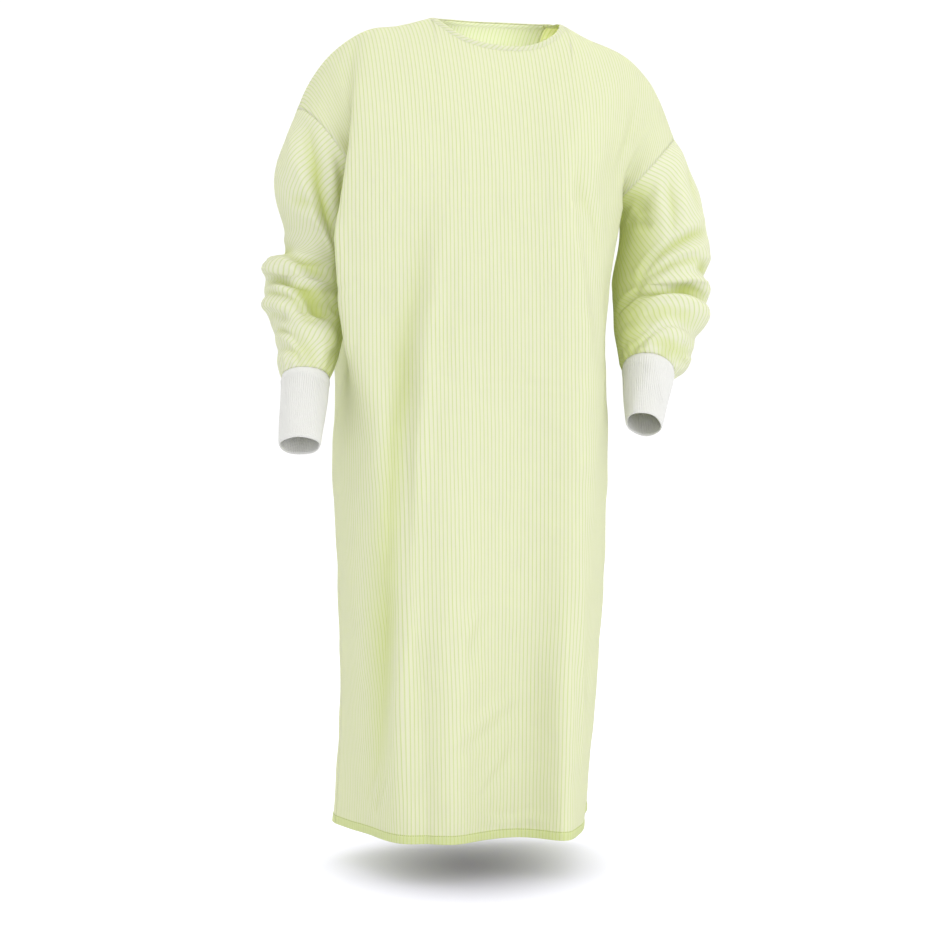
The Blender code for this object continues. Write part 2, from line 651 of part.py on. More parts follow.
half = half_columns()
lapped = lap_columns()
sheets = {
    "front_panel": body_panel(np.concatenate([-half[:0:-1], half]), False, np.zeros(2 * len(half) - 1)),
    "back_left": body_panel(lapped, True, lap_rise(lapped)),
    "back_right": body_panel(-lapped[::-1], True, np.zeros(len(lapped))),
    "sleeve_right": sleeve_sheet(-1),
    "sleeve_left": sleeve_sheet(1),
    "cuff_right": cuff_sheet(-1),
    "cuff_left": cuff_sheet(1),
}
share_facing(sheets)
sheets["neck_binding"] = binding_strip(sheets)
for piece, sheet in sheets.items():
    finish = knit if piece.startswith("cuff") else cloth
    inset = draw_in(sheet["points"], sheet["tube"])
    make_wall(piece, inset, sheet["facing"], sheet["thickness"], finish, sheet["tube"])
for tie, path in TIES.items():
    make_tie(tie, path, sheets, cloth)
for knot, spot in KNOTS.items():
    make_knot(knot, spot, sheets, cloth)
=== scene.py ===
# Isolation gown with long sleeves and knit cuffs, worn and open, as Blender shows it.
# Metres, +Z up, the front faces -Y and the wearer's left is +X, as in the CAD frame.

import math

import bpy
import numpy as np
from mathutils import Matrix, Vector


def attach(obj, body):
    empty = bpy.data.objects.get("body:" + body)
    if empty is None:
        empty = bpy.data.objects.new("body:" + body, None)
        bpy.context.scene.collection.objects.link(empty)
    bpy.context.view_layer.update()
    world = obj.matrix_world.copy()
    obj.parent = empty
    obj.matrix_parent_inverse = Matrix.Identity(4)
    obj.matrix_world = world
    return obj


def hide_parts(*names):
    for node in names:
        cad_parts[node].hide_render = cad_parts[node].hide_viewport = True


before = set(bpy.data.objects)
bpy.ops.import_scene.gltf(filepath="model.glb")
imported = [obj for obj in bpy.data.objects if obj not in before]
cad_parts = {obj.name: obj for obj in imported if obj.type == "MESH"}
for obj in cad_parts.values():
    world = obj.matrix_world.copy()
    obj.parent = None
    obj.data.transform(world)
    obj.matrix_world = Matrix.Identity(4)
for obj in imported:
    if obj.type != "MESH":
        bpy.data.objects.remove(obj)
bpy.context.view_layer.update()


# Front panel: one piece of thin woven polyester and cotton, pale yellow with fine lime stripes
# in the warp. It is cut flat with dropped shoulders, sewn to the back panels at the shoulders
# and sides, and hangs in soft folds from the shoulders and the upper arms.

CLOTH_WALL = 0.0008
ARM_SHARE = 0.24
NECK_SHARE = 2 / 7
CORNER_SHARE = 0.68
TUCK_SHARE = 0.85
HEM_Z = -1.194
# Neck hole: half width, height at its sides, rise of the shoulder line over it, and for the
# front and the back how far down towards the underarm it reaches, as a share of the way
# round, and the power of the curve the cloth follows there (2 is a quarter ellipse).
NECK_HALF = 0.103
NECK_SIDE_Z = -0.003
NECK_ARCH = 0.0145
NECK_FRONT = (0.385, 1.73)
NECK_ROUND = 2.7
NECK_BACK = (0.29, 3.0)

# Shoulder seams from the neck to the top of the armhole, for the right and the left side:
# share across, distance out and height.
SHOULDERS = {
    -1: [
        (NECK_SHARE, 0.103, -0.0030),
        (0.42, 0.148, -0.0160),
        (0.55, 0.193, -0.0245),
        (0.65, 0.226, -0.0435),
        (0.74, 0.252, -0.0665),
        (0.87, 0.281, -0.1080),
        (1.00, 0.297, -0.1450),
    ],
    1: [
        (NECK_SHARE, 0.103, -0.0030),
        (0.42, 0.138, -0.0200),
        (0.60, 0.196, -0.0430),
        (0.74, 0.235, -0.0740),
        (0.87, 0.261, -0.1140),
        (1.00, 0.281, -0.1660),
    ],
}

# Armholes on the upper arms: top and underarm as distance out and height, and the half
# axes to the front and to the back as distance out and depth.
ARMHOLES = {
    -1: {"top": (0.297, -0.145), "under": (0.207, -0.268), "front": (0.0, -0.076), "back": (0.0, 0.070)},
    1: {"top": (0.281, -0.166), "under": (0.186, -0.268), "front": (-0.012, -0.074), "back": (0.0, 0.070)},
}

# Body outline: the height of each level with the depth of the centre front and centre back, then
# for each side the front corner, front tuck, side seam, back tuck and back corner of each level,
# as distance out and depth.
LEVELS = [
    (-0.28, -0.140, 0.125),
    (-0.31, -0.143, 0.125),
    (-0.37, -0.148, 0.127),
    (-0.46, -0.151, 0.129),
    (-0.60, -0.152, 0.135),
    (-0.85, -0.150, 0.155),
    (-1.02, -0.146, 0.165),
    (HEM_Z, -0.138, 0.175),
]
BODY_TOP = LEVELS[0][0]
SIDES = {
    -1: [
        ((0.2530, -0.099), (0.212, -0.062), (0.186, 0.000), (0.200, 0.060), (0.228, 0.088)),
        ((0.2545, -0.097), (0.208, -0.063), (0.190, 0.000), (0.201, 0.060), (0.230, 0.088)),
        ((0.2560, -0.094), (0.206, -0.062), (0.193, 0.000), (0.204, 0.060), (0.230, 0.090)),
        ((0.2530, -0.095), (0.224, -0.060), (0.212, 0.000), (0.218, 0.060), (0.227, 0.094)),
        ((0.2220, -0.112), (0.238, -0.056), (0.238, 0.005), (0.231, 0.063), (0.210, 0.112)),
        ((0.2040, -0.118), (0.228, -0.050), (0.231, 0.018), (0.219, 0.080), (0.190, 0.135)),
        ((0.1920, -0.121), (0.215, -0.040), (0.225, 0.036), (0.210, 0.095), (0.183, 0.145)),
        ((0.1860, -0.120), (0.208, -0.030), (0.229, 0.055), (0.221, 0.110), (0.185, 0.152)),
    ],
    1: [
        ((0.1320, -0.113), (0.182, -0.056), (0.168, 0.000), (0.180, 0.062), (0.196, 0.092)),
        ((0.1320, -0.114), (0.177, -0.054), (0.170, 0.004), (0.181, 0.064), (0.192, 0.095)),
        ((0.1320, -0.115), (0.166, -0.053), (0.173, 0.010), (0.182, 0.068), (0.180, 0.102)),
        ((0.1300, -0.116), (0.157, -0.052), (0.175, 0.016), (0.182, 0.072), (0.168, 0.110)),
        ((0.1280, -0.120), (0.160, -0.052), (0.176, 0.020), (0.180, 0.080), (0.158, 0.124)),
        ((0.1120, -0.130), (0.149, -0.060), (0.170, 0.020), (0.176, 0.090), (0.152, 0.138)),
        ((0.0970, -0.138), (0.133, -0.069), (0.160, 0.023), (0.175, 0.090), (0.162, 0.138)),
        ((0.0820, -0.146), (0.113, -0.079), (0.147, 0.026), (0.174, 0.090), (0.172, 0.138)),
    ],
}

# Drape folds: where each starts and ends as across and down, its half width across and its
# height off the cloth, negative in a valley. The last two of the front are shallower than in
# the CAD solid, as they look in the photograph.
FRONT_FOLDS = [
    ((-0.28, 0.2), (-0.5, 0.62), 0.075, -0.01),
    ((-0.5, 0.5), (-0.5, 1), 0.075, -0.012),
    ((-0.3, 0.6), (-0.36, 1), 0.08, 0.006),
    ((0.44, 0.2), (0.6, 0.42), 0.09, -0.008),
    ((0.05, 0.75), (-0.12, 1), 0.19, -0.008),
    ((0.3, 0.78), (0.42, 1), 0.12, 0.001),
]
BACK_FOLDS = [
    ((0.55, 0.24), (0.62, 1), 0.08, -0.009),
    ((0.34, 0.4), (0.38, 1), 0.08, 0.007),
    ((-0.58, 0.24), (-0.66, 1), 0.08, -0.01),
    ((-0.38, 0.45), (-0.36, 1), 0.08, 0.007),
]

# Sleeve rings below the armhole: share along, centre as distance out, depth and height,
# half width across and front to back, tilt outwards and lean forwards in degrees.
SLEEVES = {
    -1: [
        (0.06, 0.260, 0.000, -0.2185, 0.0693, 0.071, 50, 0),
        (0.14, 0.2685, 0.001, -0.2415, 0.0646, 0.068, 40, 0),
        (0.25, 0.275, 0.003, -0.272, 0.0617, 0.066, 27, 0),
        (0.38, 0.2675, 0.010, -0.324, 0.0515, 0.064, 12, 2),
        (0.46, 0.2670, 0.012, -0.354, 0.0490, 0.064, 8, 5),
        (0.53, 0.2800, 0.011, -0.380, 0.0590, 0.065, 6, 8),
        (0.66, 0.2850, 0.000, -0.424, 0.0560, 0.062, 4, 14),
        (0.80, 0.287, -0.024, -0.470, 0.049, 0.052, 2, 20),
        (0.91, 0.291, -0.047, -0.510, 0.043, 0.045, 4, 24),
        (1.00, 0.297, -0.064, -0.538, 0.034, 0.034, 6, 25),
    ],
    1: [
        (0.06, 0.2425, 0.000, -0.228, 0.0654, 0.071, 45, 0),
        (0.14, 0.2515, 0.001, -0.250, 0.0628, 0.069, 35, 0),
        (0.24, 0.261, 0.002, -0.2785, 0.0647, 0.068, 24, 0),
        (0.37, 0.267, 0.008, -0.3315, 0.0703, 0.067, 11, 2),
        (0.50, 0.265, 0.010, -0.376, 0.072, 0.068, 4, 8),
        (0.64, 0.262, -0.002, -0.420, 0.073, 0.066, -2, 16),
        (0.78, 0.248, -0.024, -0.462, 0.065, 0.060, -8, 26),
        (0.90, 0.234, -0.044, -0.498, 0.054, 0.052, -12, 32),
        (1.00, 0.222, -0.058, -0.520, 0.040, 0.040, -14, 34),
    ],
}

# Crumples of each sleeve: share along, turn from the outside through the front in degrees,
# half width along, reach round in degrees, slope along for a quarter turn, and height.
CRUMPLES = {
    -1: [
        (0.40, 20, 0.050, 75, 0.02, -0.006),
        (0.52, 10, 0.045, 70, 0.04, 0.006),
        (0.60, 60, 0.030, 80, 0.05, -0.007),
        (0.67, 0, 0.035, 80, -0.03, 0.005),
        (0.75, 80, 0.030, 90, -0.04, -0.006),
        (0.88, 30, 0.030, 110, 0.02, -0.004),
    ],
    1: [
        (0.52, 10, 0.030, 45, 0.10, -0.007),
        (0.62, 60, 0.030, 90, -0.05, -0.008),
        (0.45, 50, 0.050, 60, 0.12, 0.005),
        (0.72, 40, 0.045, 80, 0.05, 0.005),
        (0.83, 60, 0.030, 90, 0.08, -0.006),
        (0.91, 10, 0.035, 70, 0.04, 0.005),
    ],
}


def smooth(stops, values, places):
    """Cubic curve through the values at the stops, read at each place."""
    stops = np.asarray(stops, float)
    values = np.asarray(values, float)
    places = np.atleast_1d(np.asarray(places, float))
    slopes = np.gradient(values, stops, axis=0)
    cell = np.clip(np.searchsorted(stops, places, side="right") - 1, 0, len(stops) - 2)
    shape = (-1,) + (1,) * (values.ndim - 1)
    span = (stops[cell + 1] - stops[cell]).reshape(shape)
    t = (places - stops[cell]).reshape(shape) / span
    start = (2 * t**3 - 3 * t**2 + 1) * values[cell] + (t**3 - 2 * t**2 + t) * span * slopes[cell]
    end = (3 * t**2 - 2 * t**3) * values[cell + 1] + (t**3 - t**2) * span * slopes[cell + 1]
    return start + end


def ease(value):
    """Soft step from 0 to 1."""
    value = np.clip(value, 0.0, 1.0)
    return value * value * (3 - 2 * value)


def bell(value, half):
    """Smooth bump of height 1 that falls to about a third at its half width."""
    return np.exp(-((value / half) ** 2))


def unit(vectors):
    """Vectors brought to length 1."""
    length = np.linalg.norm(vectors, axis=-1, keepdims=True)
    return vectors / np.maximum(length, 1e-12)


def armhole_axes(side):
    """Centre of an armhole and its half axes to the top, the front and the back."""
    hole = ARMHOLES[side]
    top = np.array([side * hole["top"][0], 0.0, hole["top"][1]])
    under = np.array([side * hole["under"][0], 0.0, hole["under"][1]])
    front = np.array([side * hole["front"][0], hole["front"][1], 0.0])
    back = np.array([side * hole["back"][0], hole["back"][1], 0.0])
    return (top + under) / 2, (top - under) / 2, front, back


def armhole(side, angle):
    """Points of an armhole seam; the angle runs from the top through the front to the underarm."""
    centre, upward, front, back = armhole_axes(side)
    angle = angle[..., None]
    swing = np.where(np.sin(angle) >= 0, front, -back)
    return centre + np.cos(angle) * upward + np.sin(angle) * swing


def shoulder_line(across):
    """Line over both shoulders: the seams, and between them an arch above the neck hole."""
    points = np.zeros((len(across), 3))
    points[:, 0] = NECK_HALF * across / NECK_SHARE
    points[:, 2] = NECK_SIDE_Z + NECK_ARCH * (1 - (across / NECK_SHARE) ** 2)
    for side, rows in SHOULDERS.items():
        here = side * across > NECK_SHARE
        if here.any():
            seam = smooth([row[0] for row in rows], [row[1:] for row in rows], side * across[here])
            points[here] = np.stack([side * seam[:, 0], np.zeros(len(seam)), seam[:, 1]], axis=1)
    return points


def outline(level, turn):
    """Body outline at a level; the turn is 0 at centre front, 1 at the left seam, 2 at centre back."""
    shares = (CORNER_SHARE, TUCK_SHARE, 1.0, 2 - TUCK_SHARE, 2 - CORNER_SHARE)
    left = [(share, point[0], point[1]) for share, point in zip(shares, SIDES[1][level])]
    right = [(4 - share, -point[0], point[1]) for share, point in zip(shares, SIDES[-1][level])]
    middle = [(0.0, 0.0, LEVELS[level][1]), (2.0, 0.0, LEVELS[level][2])]
    lap = sorted(left + right + middle)
    rows = [(row[0] + shift, row[1], row[2]) for shift in (-4, 0, 4) for row in lap]
    return smooth([row[0] for row in rows], [row[1:] for row in rows], turn)


def body_levels(across, back):
    """Points of each column of the body at every level, drawn in to the underarm at its seam."""
    turn = (2 - across) if back else across
    rows = []
    for index, level in enumerate(LEVELS):
        points = outline(index, turn % 4)
        rows.append(np.column_stack([points, np.full(len(across), level[0])]))
    side = np.where(across >= 0, 1, -1)
    pull = ease((np.abs(across) - TUCK_SHARE) / (1 - TUCK_SHARE))[:, None]
    under = np.array([[s * ARMHOLES[s]["under"][0], 0.0, ARMHOLES[s]["under"][1]] for s in side])
    rows[0] = rows[0] + (under - rows[0]) * pull
    return np.array(rows)


def body_cloth(across, down, back):
    """Body cloth before its folds, as points in rows down and columns across."""
    levels = body_levels(across, back)
    stops = [(level[0] - BODY_TOP) / (HEM_Z - BODY_TOP) for level in LEVELS]
    lower = smooth(stops, levels, np.maximum(down - ARM_SHARE, 0) / (1 - ARM_SHARE))
    power = (NECK_BACK if back else NECK_FRONT)[1]
    power = 2 + (power - 2) * (1 - ease(np.abs(across) / 0.6))
    run = np.clip(down / ARM_SHARE, 0, 1)[:, None] + 0 * across
    out = np.sin(run * math.pi / 2)
    fall = 1 - np.maximum(1 - out**power, 0) ** (1 / power)
    share = np.stack([out * run, out, fall], axis=-1)
    late = run[..., None] ** 3
    top = shoulder_line(across)
    upper = top + (levels[0] - top) * share
    on_arm = ease((np.abs(across) - 0.55) / 0.45)[:, None]
    for side in (-1, 1):
        here = side * across > NECK_SHARE
        centre, upward, _, _ = armhole_axes(side)
        angle = math.pi * run[:, here] * (-1 if back else 1)
        bulge = armhole(side, angle) - (centre + upward) + 2 * upward * late[:, here]
        shift = (levels[0] - top)[here] * (late[:, here] - share[:, here])
        upper[:, here] += (bulge + shift) * on_arm[here]
    return np.where((down < ARM_SHARE)[:, None, None], upper, lower)


def fold_height(across, down, back):
    """Height of the folds on the body cloth, with none at the side seams."""
    across = across[None, :]
    down = down[:, None]
    height = np.zeros((down.shape[0], across.shape[1]))
    for start, end, half, rise in BACK_FOLDS if back else FRONT_FOLDS:
        run = (down - start[1]) / (end[1] - start[1])
        line = start[0] + (end[0] - start[0]) * np.clip(run, 0, 1)
        window = ease((run + 0.25) / 0.6)
        if end[1] < 1.0:
            window = window * ease((1.25 - run) / 0.6)
        height += rise * window * bell(across - line, half)
    return height * ease((1 - np.abs(across)) / 0.08)


def grid_facing(points, tube=False):
    """Outward directions of a grid whose rows run down and whose columns run to the wearer's left."""
    if tube:
        round_trip = np.concatenate([points[:, -2:-1], points, points[:, 1:2]], axis=1)
        aside = (round_trip[:, 2:] - round_trip[:, :-2]) / 2
    else:
        aside = np.gradient(points, axis=1)
    return unit(np.cross(aside, -np.gradient(points, axis=0)))


def body_surface(across, down, back):
    """Folded body cloth and its outward directions."""
    points = body_cloth(across, down, back)
    facing = grid_facing(points) * (-1 if back else 1)
    points = points + facing * fold_height(across, down, back)[..., None]
    return points, grid_facing(points) * (-1 if back else 1)


def sleeve_rings(side):
    """Rings of a sleeve: shares along, then centre and half axes outwards, forwards and back."""
    centre, upward, front, back = armhole_axes(side)
    stops = [0.0]
    rings = [np.concatenate([centre, upward, front, -back])]
    for at, out, y, z, across, deep, tilt, lean in SLEEVES[side]:
        tilt, lean = math.radians(tilt), math.radians(lean)
        outward = np.array([side * math.cos(tilt), 0.0, math.sin(tilt)]) * across
        forward = np.array([0.0, -math.cos(lean), math.sin(lean)]) * deep
        stops.append(at)
        rings.append(np.concatenate([[side * out, y, z], outward, forward, forward]))
    return stops, rings


def sleeve_tube(side, along, angle):
    """Smooth sleeve before its crumples."""
    stops, rings = sleeve_rings(side)
    row = smooth(stops, rings, along)[:, None]
    angle = angle[None, :, None]
    swing = np.where(np.sin(angle) >= 0, row[..., 6:9], row[..., 9:12])
    return row[..., 0:3] + np.cos(angle) * row[..., 3:6] + np.sin(angle) * swing


def crumple_height(side, along, angle):
    """Height of the crumples on a sleeve, with none at its seams."""
    along = along[:, None]
    height = np.zeros((len(along), len(angle)))
    for at, turn, half, reach, slope, rise in CRUMPLES[side]:
        away = (np.degrees(angle)[None, :] - turn + 180) % 360 - 180
        line = at + slope * away / 90
        height += rise * bell(away, reach) * bell(along - line, half)
    return height * ease(along / 0.08) * ease((1 - along) / 0.05)


def sleeve_surface(side, along, angle):
    """Crumpled sleeve and its outward directions."""
    points = sleeve_tube(side, along, angle)
    facing = grid_facing(points, tube=True) * -side
    points = points + facing * crumple_height(side, along, angle)[..., None]
    return points, grid_facing(points, tube=True) * -side


# Creases of the front, from where they start to where they end in per cent across and down, then
# half width and height in mm with a valley below zero, where along the crease is deepest, and
# how much more cloth is pushed up on its left side than on its right.
MM = 0.001
PER_CENT = 0.01
FRONT_CREASES = [
    ([(-29, 21), (-31, 33), (-42, 45.2), (-55, 54), (-65, 69)], 17, -10.5, 0.6, -0.8),
    ([(-55, 52), (-65, 69), (-71, 80), (-79, 99)], 30, -14, 0.55, -0.7),
    ([(-27, 27), (-29, 38), (-44, 54), (-54, 74), (-60, 84), (-65, 99)], 13, 5.6, 0.55, 0),
    ([(-34, 50), (-38, 62), (-41, 74), (-43, 86)], 14, -1.6, 0.5, 0.3),
    ([(-23, 29), (-25, 38), (-30, 50)], 13, -1.3, 0.5, 0),
    ([(34, 17), (44, 22), (59.5, 26), (66, 33)], 13, -4.5, 0.6, 0.5),
    ([(36, 31), (38, 38), (36, 47)], 12, -1.3, 0.5, 0),
    ([(46, 62), (54, 74), (61.5, 84), (71, 96)], 9, 3.2, 0.6, 0),
    ([(60, 68), (68, 80), (78, 94)], 13, -2.2, 0.6, 0),
    ([(-46, 45.7), (-21, 45.9), (7, 46.2), (30, 46.3)], 4.5, -0.6, 0.55, 0.4),
    ([(44, 46.2), (62, 46.6)], 4, -0.5, 0.5, 0.3),
    ([(3, 82.2), (-14, 84.6), (-27.5, 86.8), (-46, 89.9)], 9, 2.4, 0.5, -0.9),
    ([(-6, 87.2), (-12, 90), (-20.5, 92.6), (-29, 94.4)], 8, 2.1, 0.45, -0.9),
    ([(-21, 71.8), (-27.5, 75), (-33.5, 79)], 8, 2.2, 0.5, -0.8),
    ([(-28, 96.7), (-10, 98.1), (8, 97.6), (27, 98.4)], 6, 1.7, 0.45, -0.6),
    ([(-66, 89.5), (-69, 93), (-77, 99)], 8, 3.2, 0.6, 0.6),
    ([(-74, 90.5), (-76, 94), (-83, 99.2)], 8, 2.6, 0.6, 0.6),
    ([(-52, 92.5), (-53, 99.9)], 6, 1.6, 0.75, 0),
    ([(-57.5, 94.5), (-58, 99.9)], 5, 1.3, 0.75, 0),
    ([(-47, 95), (-46, 99.9)], 6, 1.4, 0.75, 0),
    ([(-60, 2.5), (-65.5, 8.5), (-70, 16), (-66, 23), (-60, 29)], 9, -3, 0.4, 0.5),
    ([(-74, 3), (-79, 9), (-82, 14)], 11, 2, 0.45, 0),
    ([(-64, 25), (-60, 30), (-57, 37)], 10, 3.2, 0.5, 0),
    ([(-52, 39.5), (-60, 42.5), (-70, 44)], 8, -2.4, 0.55, 0.4),
    ([(-47, 33.5), (-56, 35), (-68, 35.2)], 7, -1.8, 0.55, -0.4),
    ([(70, 8), (76, 15), (74, 22.5)], 11, -3.4, 0.55, 0.4),
    ([(84, 9), (86, 17)], 10, 2.2, 0.5, 0),
    ([(74, 30), (76, 42), (72, 52)], 12, -3, 0.5, 0.3),
]

# Slow unevenness of the cloth: wavelength, direction in degrees, phase, and height.
UNEVEN = [
    (0.160, 12, 0.4, 0.00055),
    (0.113, -34, 2.1, 0.00045),
    (0.083, 71, 4.0, 0.00035),
    (0.061, 38, 1.3, 0.00022),
    (0.047, -63, 5.2, 0.00016),
]

# Seams and the hem as they show: the turned hem's depth, how far it stands off and how far its
# stitches lie inside its edge, how far each seam is drawn in and its half width, the width and
# height of the turnings beside it, and cells of half a panel across and of a panel down.
HEM_DEPTH = 0.013
HEM_STEP = 0.0008
STITCH_IN = 0.0015
SEAM_DIP = -0.0003
SEAM_HALF = 0.0026
TURNING = 0.0085
TURNING_STEP = 0.0002
HALF_COLUMNS = (26, 58)
PANEL_ROWS = (58, 150, 14)

# Marks of a sheet's points are the distance from the hem's edge in metres and the share of a deep
# crease, which sets how much painted lime shade the cloth gets there. Here are those of a piece
# with neither, the depth of a crease with a full share, how far panels reach into a side seam,
# and how far from it the creases fade.
NO_MARKS = (1.0, 0.0)
DEEP_FOLD = 0.024
EDGE_REACH = 0.0004
SEAM_CALM = 0.03


def travel(points, axis=0):
    """Length from the start along one axis of some points, in metres."""
    step = np.linalg.norm(np.diff(points, axis=axis), axis=-1)
    return np.insert(np.cumsum(step, axis=axis), 0, 0.0, axis=axis)


def lengths(points, middle, level=0):
    """Length across from one column, and down from one row, of every point of a grid, in metres."""
    across, down = travel(points, 1), travel(points, 0)
    return across - across[:, [middle]], down - down[[level]]


def between(grid, row, column):
    """Values of a grid at places between its points."""
    i = np.clip(row.astype(int), 0, grid.shape[0] - 2)
    j = np.clip(column.astype(int), 0, grid.shape[1] - 2)
    shape = (-1,) + (1,) * (grid.ndim - 2)
    v, u = (row - i).reshape(shape), (column - j).reshape(shape)
    upper = grid[i, j] * (1 - u) + grid[i, j + 1] * u
    lower = grid[i + 1, j] * (1 - u) + grid[i + 1, j + 1] * u
    return upper * (1 - v) + lower * v


def crease_height(creases, columns, rows, across, down, scale=(PER_CENT, PER_CENT)):
    """Height of the listed creases: a soft trough or ridge with cloth pushed the other way beside it."""
    height = np.zeros_like(across)
    for path, half, rise, peak, lean in creases:
        half, rise = half * MM, rise * MM
        path = smooth(np.linspace(0, 1, len(path)), np.array(path) * scale, np.linspace(0, 1, 33))
        row = np.interp(path[:, 1], rows, np.arange(len(rows)))
        column = np.interp(path[:, 0], columns, np.arange(len(columns)))
        line = np.column_stack([between(across, row, column), between(down, row, column)])
        low, high = line.min(axis=0) - 4 * half, line.max(axis=0) + 4 * half
        near = (across > low[0]) & (across < high[0]) & (down > low[1]) & (down < high[1])
        spots = np.column_stack([across[near], down[near]])[:, None]
        step = np.diff(line, axis=0)
        share = np.sum((spots - line[:-1]) * step, axis=-1) / np.sum(step * step, axis=-1)
        share = np.clip(share, 0, 1)
        gap = spots - line[:-1] - share[..., None] * step
        far = np.linalg.norm(gap, axis=-1)
        best = far.argmin(axis=1)
        pick = np.arange(len(best))
        run = (best + share[pick, best]) / len(step)
        side = np.sign(step[best, 0] * gap[pick, best, 1] - step[best, 1] * gap[pick, best, 0])
        off = far[pick, best] / half
        window = np.sin(math.pi * np.clip(run, 0, 1) ** (math.log(0.5) / math.log(peak)))
        beside = 0.35 * (1 + lean * side) * bell(off - 1.9, 0.85)
        sharp = 1.3 if rise < 0 else 2.0
        height[near] += rise * window * (np.exp(-(off**sharp)) - beside)
    return height


def unevenness(across, down):
    """Slow waves of the cloth in several directions."""
    height = np.zeros_like(across)
    for length, turn, phase, rise in UNEVEN:
        turn = math.radians(turn)
        wave = (across * math.cos(turn) + down * math.sin(turn)) / length
        height += rise * np.sin(2 * math.pi * wave + phase)
    return height


def seam_height(away):
    """A seam drawn in between the turnings that lie flat beside it, by distance from the seam."""
    flat = TURNING_STEP * ease((TURNING - away) / 0.002)
    return flat + SEAM_DIP * bell(away, SEAM_HALF)


def half_columns():
    """Columns of half a panel from the centre to its side seam, closer at the neck."""
    turn = np.linspace(0, 1, HALF_COLUMNS[0] + 1)
    neck = NECK_SHARE * (0.8 * np.sin(turn * math.pi / 2) + 0.2 * turn)
    return np.concatenate([neck, np.linspace(NECK_SHARE, 1, HALF_COLUMNS[1] + 1)[1:]])


def panel_rows():
    """Rows of a panel from its top edge to the hem, close together on the turned hem."""
    hem = 1 - HEM_DEPTH / (BODY_TOP - HEM_Z) * (1 - ARM_SHARE)
    upper = np.linspace(0, ARM_SHARE, PANEL_ROWS[0] + 1)
    lower = np.linspace(ARM_SHARE, hem, PANEL_ROWS[1] + 1)[1:]
    return np.concatenate([upper, lower, np.linspace(hem, 1, PANEL_ROWS[2] + 1)[1:]])


def hem_height(across, down):
    """The turned hem stands off, drawn in along its stitches, with small puckers above and below."""
    up = down[-1] - down
    turned = HEM_STEP * ease((HEM_DEPTH - up) / 0.0015)
    stitched = -0.0007 * bell(up - HEM_DEPTH + STITCH_IN, 0.0014)
    pucker = 0.6 * np.sin(2 * math.pi * across / 0.017 + 2.0 * np.sin(across * 31))
    pucker = pucker + 0.4 * np.sin(2 * math.pi * across / 0.0095 + 1.0)
    pucker = pucker * 0.00045 * bell(up - HEM_DEPTH, 0.012)
    return turned + stitched + pucker


def panel_sheet(columns, back, creases, rise):
    """Sheet of a body panel with its creases, seams and hem, and its lengths across and down."""
    rows = panel_rows()
    points, facing = body_surface(columns, rows, back)
    across, down = lengths(points, int(np.abs(columns).argmin()), PANEL_ROWS[0])
    top = down - down[0]
    creased = crease_height(creases, columns, rows, across, down)
    height = (creased + unevenness(across, down)) * ease((top + 0.01) / 0.05)
    for end in (0, -1):
        if abs(columns[end]) > TUCK_SHARE:
            inward = points[:, end] - points[:, 1 if end == 0 else -2]
            points[:, end] += unit(inward) * EDGE_REACH
            away = np.abs(across - across[:, [end]])
            height = height * ease(away / SEAM_CALM) + seam_height(away)
    height = height + hem_height(across, down) + rise[None, :]
    shoulder = ease((np.abs(columns) - NECK_SHARE) / 0.12)[None, :]
    height = height + shoulder * seam_height(top)
    points = points + facing * height[..., None]
    facing = grid_facing(points) * (-1 if back else 1)
    lines = np.stack([across, down], axis=-1)
    # Marks for the material: distance from the hem, and the share of painted crease shade.
    marks = np.stack([down[-1] - down, np.clip(-creased / DEEP_FOLD, 0, 1)], axis=-1)
    return {
        "points": cut_neck(points, columns, rows, back),
        "facing": unit(cut_neck(facing, columns, rows, back)),
        "wall": np.full(across.shape, CLOTH_WALL),
        "lengths": cut_neck(lines, columns, rows, back),
        "marks": cut_neck(marks, columns, rows, back),
        "tube": False,
    }


def cut_neck(grid, columns, rows, back):
    """Grid of a whole panel with its upper rows drawn down to the edge of the neck hole."""
    hole = (NECK_BACK if back else NECK_FRONT)[0]
    round_off = 2.0 if back else NECK_ROUND
    hole = hole * np.clip(1 - np.abs(columns / NECK_SHARE) ** round_off, 0, 1) ** (1 / round_off)
    down = np.minimum(rows, ARM_SHARE)[:, None]
    down = rows[:, None] + hole * (ARM_SHARE - down)
    row = np.interp(down, rows, np.arange(len(rows)))
    column = np.broadcast_to(np.arange(len(columns), dtype=float), row.shape)
    return between(grid, row.ravel(), column.ravel()).reshape(row.shape + grid.shape[2:])


